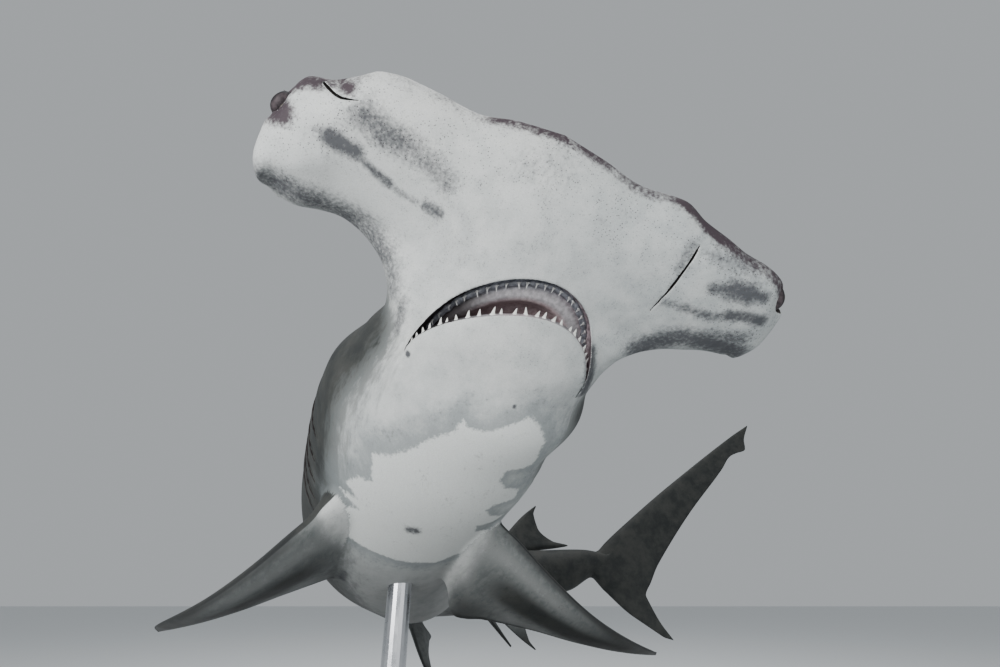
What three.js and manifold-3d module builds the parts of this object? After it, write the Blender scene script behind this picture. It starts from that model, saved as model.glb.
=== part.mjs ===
// A great hammerhead shark at life size, banking on a plain display stand.
// Millimetres, +Z up, with the origin at the centre of the base's underside. The snout points to -Y, the
// back is up and the shark's own left is +X. The tail swings round to the left.
//
// The body is worked out straight first, in shares of its total length: a runs back from the snout, b to the
// shark's left and c up. The spine then bends that straight body into its swimming pose.

import * as THREE from 'three';
import { mergeVertices } from 'three/addons/utils/BufferGeometryUtils.js';
import Module from 'manifold-3d';

const wasm = await Module();
wasm.setup();

// Driving dimensions
const TOTAL_LENGTH = 3500;
const GAP = 0.3;
const HEAD_SPAN = 0.245;
const SNOUT = new THREE.Vector3(285, -920, 1080);
const HEAD_POSE = { yaw: -24.5, pitch: 30.9, roll: 23.3 };
const BENDS = [
  { from: 0.12, to: 0.24, yaw: 0.8, pitch: -20.7, roll: -30.6 },
  { from: 0.22, to: 0.42, yaw: 23.7, pitch: 6.6, roll: -27.2 },
  { from: 0.38, to: 0.56, yaw: 24.8, pitch: -11.9, roll: 6.0 },
  { from: 0.52, to: 0.70, yaw: 64.9, pitch: -11.7, roll: 21.4 },
  { from: 0.70, to: 0.80, yaw: 25.2, pitch: 1.8, roll: 11.7 },
];
const SPINE_STEPS = 200;

// Stations, back from the snout, where one length of the body ends and the next begins
const STATIONS = { neck: 0.126, chest: 0.252, belly: 0.34, tailBase: 0.47, tailStock: 0.60, tailEnd: 0.772 };
const GAP_SHARE = GAP / TOTAL_LENGTH;

// Interpolates smoothly through [x, y] pairs without overshooting them
function profile(points) {
  const last = points.length - 1;
  const run = (i) => points[i + 1][0] - points[i][0];
  const slope = (i) => (points[i + 1][1] - points[i][1]) / run(i);
  const tangents = points.map((point, i) => {
    if (i === 0) return slope(0);
    if (i === last) return slope(last - 1);
    const before = slope(i - 1);
    const after = slope(i);
    if (before * after <= 0) return 0;
    const weightBefore = 2 * run(i) + run(i - 1);
    const weightAfter = run(i) + 2 * run(i - 1);
    return (weightBefore + weightAfter) / (weightBefore / before + weightAfter / after);
  });
  return (x) => {
    const at = THREE.MathUtils.clamp(x, points[0][0], points[last][0]);
    let i = 0;
    while (i < last - 1 && at > points[i + 1][0]) i++;
    const t = (at - points[i][0]) / run(i);
    const s = 1 - t;
    return (1 + 2 * t) * s * s * points[i][1] + t * s * s * run(i) * tangents[i]
      + t * t * (3 - 2 * t) * points[i + 1][1] - t * t * s * run(i) * tangents[i + 1];
  };
}

function smooth(t) {
  const x = THREE.MathUtils.clamp(t, 0, 1);
  return x * x * (3 - 2 * x);
}

// Section of the straight body: half width, height above and depth below the spine, and its sway to a side
const halfWidth = profile([[0, 0.1238], [0.006, 0.1252], [0.016, 0.1267], [0.026, 0.1275], [0.036, 0.1250],
  [0.047, 0.1190], [0.054, 0.1164], [0.063, 0.1038], [0.0725, 0.0888], [0.081, 0.0766], [0.090, 0.0674],
  [0.101, 0.0620], [0.112, 0.0604], [0.13, 0.0660], [0.16, 0.0705], [0.20, 0.0737], [0.26, 0.0737],
  [0.33, 0.074], [0.42, 0.060], [0.50, 0.0462], [0.60, 0.0297], [0.68, 0.0193], [0.715, 0.0163],
  [0.745, 0.010], [0.772, 0.003]]);
const topHeight = profile([[0, 0.006], [0.01, 0.013], [0.03, 0.022], [0.06, 0.032], [0.10, 0.046],
  [0.16, 0.064], [0.20, 0.071], [0.26, 0.079], [0.33, 0.078], [0.42, 0.064], [0.50, 0.050], [0.60, 0.0355],
  [0.68, 0.025], [0.715, 0.022], [0.745, 0.018], [0.772, 0.009]]);
const bellyDepth = profile([[0, 0.006], [0.01, 0.012], [0.03, 0.019], [0.06, 0.026], [0.075, 0.032],
  [0.10, 0.0438], [0.13, 0.0589], [0.16, 0.0602], [0.20, 0.0622], [0.26, 0.0709], [0.33, 0.0719],
  [0.42, 0.0680], [0.50, 0.0488], [0.60, 0.0416], [0.68, 0.0302], [0.715, 0.0265], [0.745, 0.014],
  [0.772, 0.005]]);
const sway = profile([[0.07, 0], [0.09, 0.0042], [0.105, 0.0055], [0.13, 0.0035], [0.16, -0.0055],
  [0.20, -0.0031], [0.26, 0]]);
const boxiness = profile([[0, 10], [0.03, 8], [0.06, 5], [0.09, 2.6], [0.12, 2.2], [0.30, 2.1], [0.80, 2.0]]);

// The hammer: a flat blade, thicker along its middle, whose front edge runs back in shallow lobes to the
// tips. Each wing of it is lifted, swept and twisted a little by the turn that the animal makes.
const BLADE = {
  nose: 0.018, keel: 0.050, keelPower: 2.2, fadeFrom: 0.03, fadeTo: 0.10, trunkFrom: 0.065, trunkTo: 0.10,
};
const bladeThickness = profile([[0, 0.0135], [0.02, 0.0150], [0.05, 0.0135], [0.08, 0.0105], [0.10, 0.0100]]);
const frontEdgeRight = profile([[0, 0], [0.09, 0.0097], [0.17, 0.0262], [0.25, 0.0215], [0.30, 0.0210],
  [0.35, 0.0288], [0.39, 0.0541], [0.43, 0.0759], [0.465, 0.0840], [0.495, 0.1228]]);
const frontEdgeLeft = profile([[0, 0], [0.09, 0.0130], [0.17, 0.0275], [0.25, 0.0199], [0.30, 0.0384],
  [0.35, 0.0501], [0.39, 0.0609], [0.43, 0.0658], [0.465, 0.0779], [0.495, 0.1073]]);
const WING = { rootFrom: 0.035, rootTo: 0.1225, middle: 0.03, backTo: 0.09, rearFrom: 0.04, rearTo: 0.06 };
const WINGS = {
  right: { lift: -0.0177, sweep: -0.0028, twist: -16.3, rear: 0.0111, reach: -0.0018 },
  left: { lift: -0.0057, sweep: -0.0003, twist: 12.8, rear: -0.0045, reach: 0.0029 },
};

// The mouth: an upper lip in an arch, and a lower jaw that hangs open below it
const MOUTH = {
  front: 0.0603, depth: 0.0489, centre: 0.0125, half: 0.0435, skew: 0.0071, palate: -0.010, back: 0.112,
};
const JAW = { front: 0.0720, top: -0.034, drop: 0.013, rise: 0.008, fade: 0.13, breadth: 1.15, back: 0.14 };

function mouthAcross(b) {
  return THREE.MathUtils.clamp((b - MOUTH.centre) / MOUTH.half, -1, 1);
}

function lipArch(front, b) {
  const across = mouthAcross(b);
  const corner = MOUTH.front + MOUTH.depth;
  const skew = MOUTH.skew * Math.sin(across * Math.PI / 2);
  return front + (corner - front) * (1 - Math.sqrt(1 - across * across)) - skew;
}

// How far the open lower jaw hangs below the line of the throat
function jawDrop(a, b) {
  const across = Math.abs(b - MOUTH.centre) / (JAW.breadth * MOUTH.half);
  if (across >= 1) return 0;
  const rim = lipArch(JAW.front, b);
  const along = a < rim ? smooth((a - rim) / JAW.rise + 1) : 1 - smooth((a - rim) / (JAW.fade - rim));
  return JAW.drop * (1 - across ** 4) * along;
}

function ramp(x, from, to) {
  return smooth((x - from) / (to - from));
}

// How far the front edge lies behind the snout at a station, out along the hammer
function frontShift(station, b) {
  const edge = b > 0 ? frontEdgeLeft : frontEdgeRight;
  return edge(Math.abs(b) / HEAD_SPAN) * HEAD_SPAN * (1 - ramp(station, BLADE.fadeFrom, BLADE.fadeTo));
}

// Moves a point of the hammer with its wing
function onWing({ a, b, c }, station) {
  const wing = b > 0 ? WINGS.left : WINGS.right;
  const out = ramp(Math.abs(b), WING.rootFrom, WING.rootTo) * (1 - ramp(station, WING.middle, WING.backTo));
  const turn = Math.tan(THREE.MathUtils.degToRad(wing.twist)) * (a - WING.middle);
  const back = wing.sweep + wing.rear * ramp(station, WING.rearFrom, WING.rearTo);
  const aside = Math.sign(b) * out * wing.reach + sway(station);
  return { a: a + out * back, b: b + aside, c: c + out * (wing.lift + turn) };
}

// The station of the section that holds a point of the hammer
function stationOf(a, b) {
  let station = a;
  for (let i = 0; i < 20; i++) station = 0.5 * (station + Math.max(0, a - frontShift(station, b)));
  return station;
}

// A point of the straight body's skin, at a station and at an angle from the left side over the back
function skinPoint(station, angle) {
  const width = halfWidth(station);
  const across = Math.cos(angle);
  const b = across * width;
  const upper = Math.sin(angle) >= 0;
  const round = Math.sqrt(Math.max(0, 1 - Math.abs(across) ** boxiness(station)));
  const nose = THREE.MathUtils.clamp(station / BLADE.nose, 0, 1);
  const noseRound = Math.sqrt(Math.max(0, 1 - (1 - nose) ** 2));
  const trunk = ramp(station, BLADE.trunkFrom, BLADE.trunkTo);
  const keel = trunk + (1 - trunk) * Math.exp(-((Math.abs(b) / BLADE.keel) ** BLADE.keelPower));
  const core = upper ? topHeight(station) : bellyDepth(station);
  const blade = bladeThickness(station);
  const height = round * noseRound * (blade + (core - blade) * keel);
  const point = onWing({ a: station + frontShift(station, b), b, c: upper ? height : -height }, station);
  if (!upper) point.c -= jawDrop(point.a, b) * round;
  return point;
}

// The spine, as a row of positions with the directions left, back and up at each
function turnAt(station) {
  const sum = { ...HEAD_POSE };
  for (const bend of BENDS) {
    const share = smooth((station - bend.from) / (bend.to - bend.from));
    for (const key of ['yaw', 'pitch', 'roll']) sum[key] += share * bend[key];
  }
  const [yaw, pitch, roll] = [sum.yaw, sum.pitch, sum.roll].map(THREE.MathUtils.degToRad);
  const matrix = new THREE.Matrix4().makeRotationFromEuler(new THREE.Euler(-pitch, roll, -yaw, 'ZXY'));
  const [left, back, up] = [new THREE.Vector3(), new THREE.Vector3(), new THREE.Vector3()];
  matrix.extractBasis(left, back, up);
  return { left, back, up };
}

const spine = [];
for (let i = 0; i <= SPINE_STEPS; i++) {
  const frame = turnAt(i / SPINE_STEPS);
  frame.at = SNOUT.clone();
  if (i > 0) {
    const before = spine[i - 1];
    const step = before.back.clone().add(frame.back).multiplyScalar(TOTAL_LENGTH / SPINE_STEPS / 2);
    frame.at = before.at.clone().add(step);
  }
  spine.push(frame);
}

function spineAt(station) {
  const i = Math.min(Math.floor(station * SPINE_STEPS), SPINE_STEPS - 1);
  const t = station * SPINE_STEPS - i;
  const mix = (key) => spine[i][key].clone().lerp(spine[i + 1][key], t);
  return { at: mix('at'), left: mix('left'), back: mix('back'), up: mix('up') };
}

// Bends a point of the straight body with the spine
function bend({ a, b, c }) {
  const frame = spineAt(Math.max(a, 0));
  return frame.at.addScaledVector(frame.left, b * TOTAL_LENGTH).addScaledVector(frame.up, c * TOTAL_LENGTH)
    .addScaledVector(frame.back, Math.min(a, 0) * TOTAL_LENGTH);
}

// Places a point of a stiff piece that keeps the direction of the spine at one station
function stiff(station) {
  const frame = spineAt(station);
  return ({ a, b, c }) => frame.at.clone().addScaledVector(frame.left, b * TOTAL_LENGTH)
    .addScaledVector(frame.up, c * TOTAL_LENGTH).addScaledVector(frame.back, (a - station) * TOTAL_LENGTH);
}

// A closed skin over rows of points. Rows run round a ring, and the first may be folded flat into an edge.
// The diagonals mirror on the two faces of a blade.
function loft(rows, foldedStart = false) {
  const around = rows[0].length;
  const half = around / 2;
  const last = rows.length - 1;
  const corners = rows.flat();
  const faces = [];
  const at = (i, j) => {
    const turn = j % around;
    return i * around + (foldedStart && i === 0 ? Math.min(turn, around - turn) : turn);
  };
  for (let i = 0; i < last; i++) {
    for (let j = 0; j < around; j++) {
      const [p, q, r, s] = [at(i, j), at(i + 1, j), at(i + 1, j + 1), at(i, j + 1)];
      if (j < half) faces.push([p, q, r], [p, r, s]);
      else faces.push([p, q, s], [q, r, s]);
    }
  }
  for (const end of foldedStart ? [last] : [0, last]) {
    const sum = rows[end].reduce((total, point) => total.add(point), new THREE.Vector3());
    corners.push(sum.divideScalar(around));
    const centre = corners.length - 1;
    for (let j = 0; j < around; j++) {
      faces.push(end === 0 ? [at(0, j), at(0, j + 1), centre] : [at(last, j + 1), at(last, j), centre]);
    }
  }
  return closed(corners, faces);
}

// Merges shared corners, drops faces without area and turns the skin outwards
function closed(corners, faces) {
  const geometry = new THREE.BufferGeometry().setFromPoints(corners);
  geometry.setIndex(faces.flat());
  const merged = mergeVertices(geometry, 1e-3);
  const index = [];
  const source = merged.index.array;
  for (let i = 0; i < source.length; i += 3) {
    const [p, q, r] = source.slice(i, i + 3);
    if (p !== q && q !== r && r !== p) index.push(p, q, r);
  }
  merged.setIndex(index);
  if (signedVolume(merged) < 0) {
    for (let i = 0; i < index.length; i += 3) [index[i], index[i + 1]] = [index[i + 1], index[i]];
    merged.setIndex(index);
  }
  return merged;
}

function signedVolume(geometry) {
  const position = geometry.attributes.position;
  const [p, q, r] = [new THREE.Vector3(), new THREE.Vector3(), new THREE.Vector3()];
  let volume = 0;
  for (let i = 0; i < geometry.index.count; i += 3) {
    p.fromBufferAttribute(position, geometry.index.getX(i));
    q.fromBufferAttribute(position, geometry.index.getX(i + 1));
    r.fromBufferAttribute(position, geometry.index.getX(i + 2));
    volume += p.dot(q.cross(r)) / 6;
  }
  return volume;
}

// Moves a skin out along its normals
function grown(geometry, amount) {
  const copy = geometry.clone();
  copy.computeVertexNormals();
  const { position, normal } = copy.attributes;
  for (let i = 0; i < position.count; i++) {
    position.setXYZ(i, position.getX(i) + amount * normal.getX(i), position.getY(i) + amount * normal.getY(i),
      position.getZ(i) + amount * normal.getZ(i));
  }
  return copy;
}

// Booleans
function solid(geometry) {
  const bare = geometry.clone();
  bare.deleteAttribute('normal');
  bare.deleteAttribute('uv');
  const merged = mergeVertices(bare, 1e-4);
  return new wasm.Manifold(new wasm.Mesh({
    numProp: 3,
    vertProperties: new Float32Array(merged.attributes.position.array),
    triVerts: new Uint32Array(merged.index.array),
  }));
}

function largest(body) {
  return body.decompose().reduce((best, piece) => (piece.volume() > best.volume() ? piece : best));
}

function geometryOf(body) {
  const mesh = largest(body).getMesh();
  const geometry = new THREE.BufferGeometry();
  geometry.setAttribute('position', new THREE.BufferAttribute(new Float32Array(mesh.vertProperties), 3));
  geometry.setIndex(new THREE.BufferAttribute(new Uint32Array(mesh.triVerts), 1));
  geometry.computeVertexNormals();
  return geometry;
}

// The skin of the straight body over a row of stations, bent. At the snout it closes in an edge by itself.
function bodySkin(stations, around) {
  const rings = stations.map((station) => {
    const ring = [];
    for (let j = 0; j < around; j++) ring.push(bend(skinPoint(station, (j / around) * 2 * Math.PI)));
    return ring;
  });
  return loft(rings, stations[0] === 0);
}

function stationsBetween(from, to, rows) {
  const stations = [];
  for (let i = 0; i <= rows; i++) stations.push(from + (to - from) * (i / rows));
  return stations;
}

function noseStations(rows) {
  const stations = [];
  for (let i = 0; i < rows; i++) stations.push(BLADE.nose * (1 - Math.cos((i / rows) * Math.PI / 2)));
  return stations;
}

// A closed geometry with each corner moved
function moved(geometry, place) {
  geometry.deleteAttribute('normal');
  geometry.deleteAttribute('uv');
  const merged = mergeVertices(geometry, 1e-6);
  const { position } = merged.attributes;
  const corners = [];
  for (let i = 0; i < position.count; i++) {
    corners.push(place(position.getX(i), position.getY(i), position.getZ(i)));
  }
  return closed(corners, [Array.from(merged.index.array)]);
}

// An upright block with a flat outline of [b, a] points, between two heights of the straight body
function block(outline, low, high) {
  const shape = new THREE.Shape(outline.map(([b, a]) => new THREE.Vector2(b, a)));
  const geometry = new THREE.ExtrudeGeometry(shape, { depth: high - low, bevelEnabled: false });
  return moved(geometry, (x, y, z) => bend({ a: y, b: x, c: low + z }));
}

// An outline moved outwards, for the gap between two pieces
function widened(outline, amount) {
  const area = outline.reduce((sum, [x, y], i) => {
    const [nextX, nextY] = outline[(i + 1) % outline.length];
    return sum + x * nextY - nextX * y;
  }, 0);
  return outline.map(([x, y], i) => {
    const [beforeX, beforeY] = outline[(i + outline.length - 1) % outline.length];
    const [afterX, afterY] = outline[(i + 1) % outline.length];
    const along = new THREE.Vector2(afterX - beforeX, afterY - beforeY).normalize();
    return [x + Math.sign(area) * amount * along.y, y - Math.sign(area) * amount * along.x];
  });
}

// Fins: the span runs out from the root and the chord runs back from the leading edge
const FINS = {
  pectoral: {
    lead: profile([[0, -0.006], [0.06, 0.002], [0.15, 0.007], [0.3, 0.020], [0.55, 0.048], [0.8, 0.083],
      [0.93, 0.110], [1, 0.132]]),
    trail: profile([[0, 0.068], [0.03, 0.084], [0.06, 0.096], [0.10, 0.102], [0.14, 0.100], [0.2, 0.094],
      [0.4, 0.089], [0.6, 0.096], [0.8, 0.111], [0.93, 0.126], [1, 0.134]]),
    span: 0.150, thickness: [0.0022, 0.0150],
  },
  firstDorsal: {
    lead: profile([[0, -0.010], [0.08, 0.005], [0.25, 0.024], [0.5, 0.049], [0.75, 0.078], [0.92, 0.104],
      [1, 0.124]]),
    trail: profile([[0, 0.098], [0.03, 0.122], [0.06, 0.136], [0.12, 0.122], [0.25, 0.100], [0.5, 0.089],
      [0.75, 0.098], [0.92, 0.116], [1, 0.126]]),
    span: 0.146, thickness: [0.0018, 0.0130],
  },
  secondDorsal: {
    lead: profile([[0, -0.006], [0.12, 0.004], [0.5, 0.027], [0.8, 0.048], [1, 0.066]]),
    trail: profile([[0, 0.048], [0.05, 0.085], [0.10, 0.103], [0.2, 0.082], [0.5, 0.064], [0.8, 0.062],
      [1, 0.068]]),
    span: 0.056, thickness: [0.0016, 0.0080],
  },
  anal: {
    lead: profile([[0, -0.006], [0.12, 0.004], [0.5, 0.026], [0.8, 0.046], [1, 0.062]]),
    trail: profile([[0, 0.055], [0.05, 0.078], [0.10, 0.092], [0.2, 0.075], [0.5, 0.054], [0.8, 0.056],
      [1, 0.064]]),
    span: 0.055, thickness: [0.0016, 0.0080],
  },
  pelvic: {
    lead: profile([[0, -0.005], [0.12, 0.003], [0.5, 0.018], [0.8, 0.036], [1, 0.054]]),
    trail: profile([[0, 0.050], [0.05, 0.066], [0.10, 0.076], [0.2, 0.064], [0.5, 0.048], [0.8, 0.048],
      [1, 0.056]]),
    span: 0.064, thickness: [0.0016, 0.0080],
  },
  upperLobe: {
    lead: profile([[0, 0.022], [0.12, 0.013], [0.25, 0.009], [0.5, 0.004], [0.9, 0.001], [1, 0.002]]),
    trail: profile([[0, 0.10], [0.12, 0.088], [0.25, 0.070], [0.5, 0.046], [0.75, 0.028], [0.83, 0.021],
      [0.86, 0.0225], [0.90, 0.026], [0.94, 0.014], [1, 0.003]]),
    span: 0.312, thickness: [0.0022, 0.0170], taper: 1.5,
  },
  lowerLobe: {
    lead: profile([[0, 0.018], [0.3, 0.006], [0.6, 0], [0.9, 0], [1, 0.004]]),
    trail: profile([[0, 0.09], [0.3, 0.070], [0.6, 0.038], [0.85, 0.014], [1, 0.005]]),
    span: 0.150, thickness: [0.0018, 0.0120],
  },
};

// A fin lying flat: rows of {chord, span, rise}, each a thin rounded section with its thickest part forward.
// A first row may be sunk in the body.
const ROOT_DEPTH = 0.12;

function flatFin(fin, rows, around, depth = ROOT_DEPTH) {
  const made = [];
  for (let i = depth > 0 ? 0 : 1; i <= rows; i++) {
    const t = i === 0 ? -depth : Math.sin(((i - 1) / (rows - 1)) * Math.PI / 2);
    const [edge, root] = fin.thickness;
    const half = 0.5 * (edge + root * (1 - t) ** (fin.taper ?? 1));
    const row = [];
    for (let j = 0; j < around; j++) {
      const angle = (j / around) * 2 * Math.PI;
      const chord = fin.lead(t) + (fin.trail(t) - fin.lead(t)) * (1 - Math.cos(angle)) / 2;
      row.push({ chord, span: t * fin.span, rise: half * Math.sin(angle) * (1 + 0.45 * Math.cos(angle)) });
    }
    made.push(row);
  }
  return made;
}

// Sets a paired or middle fin on the body: its root lies at (a, b, c), its span leans by an angle from the
// shark's side, and the blade may be swept, curved up and twisted towards its tip
function bodyFin(fin, { a, b = 0, c, lean, side = 1, sweep = 0, curve = 0, twist = 0, wash = 0, scale = 1 }) {
  const place = stiff(a);
  const [sweepBy, leanBy] = [sweep, lean].map(THREE.MathUtils.degToRad);
  const rows = flatFin(fin, 13, 12).map((row) => row.map(({ chord, span, rise }) => {
    let x = scale * (chord * Math.cos(sweepBy) + span * Math.sin(sweepBy));
    const y = scale * (span * Math.cos(sweepBy) - chord * Math.sin(sweepBy));
    let n = scale * rise + curve * (y / fin.span) ** 2;
    const turn = THREE.MathUtils.degToRad(twist + wash * (y / fin.span));
    [x, n] = [x * Math.cos(turn) + n * Math.sin(turn), n * Math.cos(turn) - x * Math.sin(turn)];
    return place({
      a: a + x,
      b: (b + Math.cos(leanBy) * y - Math.sin(leanBy) * n) * side,
      c: c + Math.sin(leanBy) * y + Math.cos(leanBy) * n,
    });
  }));
  return loft(rows);
}

// Sets a lobe of the tail fin, whose leading edge rises or falls by an angle from the line of the tail
const TAIL_FIN = { station: 0.72, root: 0.732, offset: 0.018 };
const FORK = { from: { a: 0.66, c: 0.0305 }, to: { a: 1.10, c: -0.1675 }, reach: 0.4, breadth: 0.1 };

function tailLobe(fin, { angle, up, scale }) {
  const place = stiff(TAIL_FIN.station);
  const lean = THREE.MathUtils.degToRad(angle);
  return loft(flatFin(fin, 18, 12, 0).map((row) => row.map(({ chord, span, rise }) => place({
    a: TAIL_FIN.root + scale * (span * Math.cos(lean) + chord * Math.sin(lean)),
    b: scale * rise,
    c: up * (TAIL_FIN.offset + scale * (span * Math.sin(lean) - chord * Math.cos(lean))),
  }))));
}

// The space above or below the line from the tail stock to the fork, which parts the two lobes
function forkSide(up) {
  const { from, to, reach, breadth } = FORK;
  const gap = up > 0 ? 0 : GAP_SHARE;
  const outline = [[from.a, from.c - gap], [to.a, to.c - gap], [to.a, to.c + up * reach],
    [from.a, from.c + up * reach]];
  const shape = new THREE.Shape(outline.map(([a, c]) => new THREE.Vector2(a, c)));
  const geometry = new THREE.ExtrudeGeometry(shape, { depth: breadth, bevelEnabled: false });
  const place = stiff(TAIL_FIN.station);
  return moved(geometry, (x, y, z) => place({ a: x, b: z - breadth / 2, c: y }));
}

// Lengths of the body behind the head, with the rows of each
const AROUND = 36;
const LENGTHS = {
  neck: { from: STATIONS.neck, to: STATIONS.chest, rows: 8 },
  chest: { from: STATIONS.chest, to: STATIONS.belly, rows: 8 },
  belly: { from: STATIONS.belly, to: STATIONS.tailBase, rows: 8 },
  tail_base: { from: STATIONS.tailBase, to: STATIONS.tailStock, rows: 10 },
  tail_stock: { from: STATIONS.tailStock, to: STATIONS.tailEnd, rows: 12 },
};
const bodyStations = Object.values(LENGTHS).map(({ from, to, rows }) => {
  const end = to === STATIONS.tailEnd ? to : to - GAP_SHARE / 2;
  return stationsBetween(from + GAP_SHARE / 2, end, rows);
});
const lengths = Object.fromEntries(Object.keys(LENGTHS).map((name, i) => {
  return [name, solid(bodySkin(bodyStations[i], AROUND))];
}));

// The same skin in one piece and grown by the gap, which everything set on the body is cut clear of
const clearance = solid(grown(bodySkin(bodyStations.flat(), AROUND), GAP));

// Head
const EYE = {
  right: { a: 0.0335, b: -0.1205 }, left: { a: 0.0284, b: 0.1198 },
  radius: 0.0057, lid: 0.0013, proud: 0.0022,
};
const NOSTRIL = {
  left: { b: 0.073, a: 0.008, length: 0.047, slant: -0.003 },
  right: { b: -0.099, a: 0.012, length: 0.008, slant: 0.006 },
  half: 0.0016, notch: 1.6, ahead: 0.020, roof: -0.006,
};

function eyeCentre(side) {
  const { a, b } = side > 0 ? EYE.left : EYE.right;
  return bend({ a, b, c: onWing({ a, b, c: 0 }, stationOf(a, b)).c });
}

function eyeball(side, extra) {
  const ball = new THREE.SphereGeometry(EYE.radius * TOTAL_LENGTH + extra, 16, 10);
  const centre = eyeCentre(side);
  ball.translate(centre.x, centre.y, centre.z);
  return ball;
}

function lids(side) {
  const ring = new THREE.TorusGeometry(EYE.radius * TOTAL_LENGTH + GAP, EYE.lid * TOTAL_LENGTH, 8, 20);
  const frame = spineAt(EYE.left.a);
  const outward = frame.left.clone().multiplyScalar(side);
  ring.applyQuaternion(new THREE.Quaternion().setFromUnitVectors(new THREE.Vector3(0, 0, 1), outward));
  const centre = eyeCentre(side).addScaledVector(outward, EYE.proud * TOTAL_LENGTH);
  ring.translate(centre.x, centre.y, centre.z);
  return ring;
}

function arch(front, steps) {
  const points = [];
  for (let i = 0; i <= steps; i++) {
    const b = MOUTH.centre + MOUTH.half * Math.sin((i / steps - 0.5) * Math.PI);
    points.push([b, lipArch(front, b)]);
  }
  return points;
}

// Blocks under the head: the opening between the lips, and the lower jaw from its rim to the neck
const DEEP = -0.2;

function mouthOutline(inset) {
  const side = 0.985 * MOUTH.half - inset;
  const lip = arch(MOUTH.front, 20).filter(([b]) => Math.abs(b - MOUTH.centre) < side);
  const throat = [[MOUTH.centre + side, MOUTH.back], [MOUTH.centre - side, MOUTH.back]];
  return [...lip.map(([b, a]) => [b, a + inset]), ...throat];
}

const jawOutline = [...arch(JAW.front, 20), [MOUTH.centre + 1.02 * MOUTH.half, JAW.back],
  [MOUTH.centre - 1.02 * MOUTH.half, JAW.back]];

function nostril({ a, b, length, slant }) {
  const { half, notch, ahead, roof } = NOSTRIL;
  const outline = [[b - notch * half, a - ahead], [b + notch * half, a - ahead],
    [b + half + slant / 2, a + length / 2], [b + slant, a + length], [b - half + slant / 2, a + length / 2]];
  return block(outline, DEEP / 3, roof);
}

// Teeth: three-sided spikes whose roots are sunk in the jaw
function tooth(root, tip, width, across) {
  const along = tip.clone().sub(root).normalize();
  const depth = new THREE.Vector3().crossVectors(along, across).multiplyScalar(0.35 * width);
  const sunk = root.clone().addScaledVector(along, -0.5 * width);
  const half = across.clone().multiplyScalar(width / 2);
  const corners = [sunk.clone().add(half), sunk.clone().sub(half), sunk.clone().add(depth),
    sunk.clone().sub(depth), tip];
  return closed(corners, [[0, 2, 4], [2, 1, 4], [1, 3, 4], [3, 0, 4], [0, 3, 2], [1, 2, 3]]);
}

const TEETH = {
  lower: 20, upper: 18, height: 0.0052, width: 0.0030, breadth: 0.93, shorter: 0.35, station: 0.08,
};

function toothRow(count, front, setBack, base, direction) {
  const frame = spineAt(TEETH.station);
  const lean = frame.back.clone().multiplyScalar(direction.a).addScaledVector(frame.up, direction.c);
  const row = [];
  for (let i = 0; i < count; i++) {
    const share = ((i + 0.5) / count - 0.5) * 2;
    const b = MOUTH.centre + TEETH.breadth * MOUTH.half * share;
    const root = bend({ a: lipArch(front, b) + setBack, b, c: base });
    const size = TEETH.height * TOTAL_LENGTH * (1 - TEETH.shorter * share * share);
    const tip = root.clone().addScaledVector(lean, size);
    row.push(solid(tooth(root, tip, TEETH.width * TOTAL_LENGTH, frame.left)));
  }
  return row;
}

const headStations = [...noseStations(6), ...stationsBetween(BLADE.nose, STATIONS.neck - GAP_SHARE / 2, 18)];
let head = solid(bodySkin(headStations, 48));
let jaw = head.intersect(solid(block(jawOutline, DEEP, JAW.top)));
head = head.subtract(solid(block(mouthOutline(0), DEEP, MOUTH.palate)));
head = head.subtract(solid(block(widened(jawOutline, GAP_SHARE), DEEP, JAW.top + GAP_SHARE)));
for (const side of [1, -1]) head = head.add(solid(lids(side))).subtract(solid(eyeball(side, GAP)));
for (const side of ['left', 'right']) head = head.subtract(solid(nostril(NOSTRIL[side])));
for (const upperTooth of toothRow(TEETH.upper, MOUTH.front, -0.0004, -0.019, { a: 0.35, c: -0.94 })) {
  head = head.add(upperTooth);
}
const betweenLips = solid(block(mouthOutline(GAP_SHARE), DEEP, MOUTH.palate - GAP_SHARE));
for (const lowerTooth of toothRow(TEETH.lower, JAW.front, 0.0012, JAW.top, { a: -0.55, c: 0.85 })) {
  jaw = jaw.add(lowerTooth.intersect(betweenLips));
}

// Gill slits: five curved grooves on each side of the neck, before and above the pectoral fin
const GILLS = {
  first: 0.184, pitch: 0.0135, count: 5, low: -24, high: 34, half: 0.0009, depth: 0.93, lean: 0.003,
};

function gillSlit(number, side) {
  const rows = [];
  const steps = 5;
  for (let i = 0; i <= steps; i++) {
    const share = i / steps;
    const angle = THREE.MathUtils.degToRad(GILLS.low + (GILLS.high - GILLS.low) * share);
    const station = GILLS.first + GILLS.pitch * number + GILLS.lean * Math.sin(share * Math.PI);
    const taper = Math.sin(Math.PI * (0.12 + 0.76 * share));
    const ring = [];
    for (const [reach, offset] of [[1.04, -1], [1.04, 1], [GILLS.depth, 0.4], [GILLS.depth, -0.4]]) {
      const point = skinPoint(station, side > 0 ? angle : Math.PI - angle);
      const depth = 1 + (reach - 1) * (reach < 1 ? taper : 1);
      const middle = sway(station);
      ring.push(bend({
        a: station + offset * GILLS.half, b: middle + (point.b - middle) * depth, c: point.c * depth,
      }));
    }
    rows.push(ring);
  }
  return loft(rows);
}

for (let number = 0; number < GILLS.count; number++) {
  for (const side of [1, -1]) lengths.neck = lengths.neck.subtract(solid(gillSlit(number, side)));
}

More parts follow.
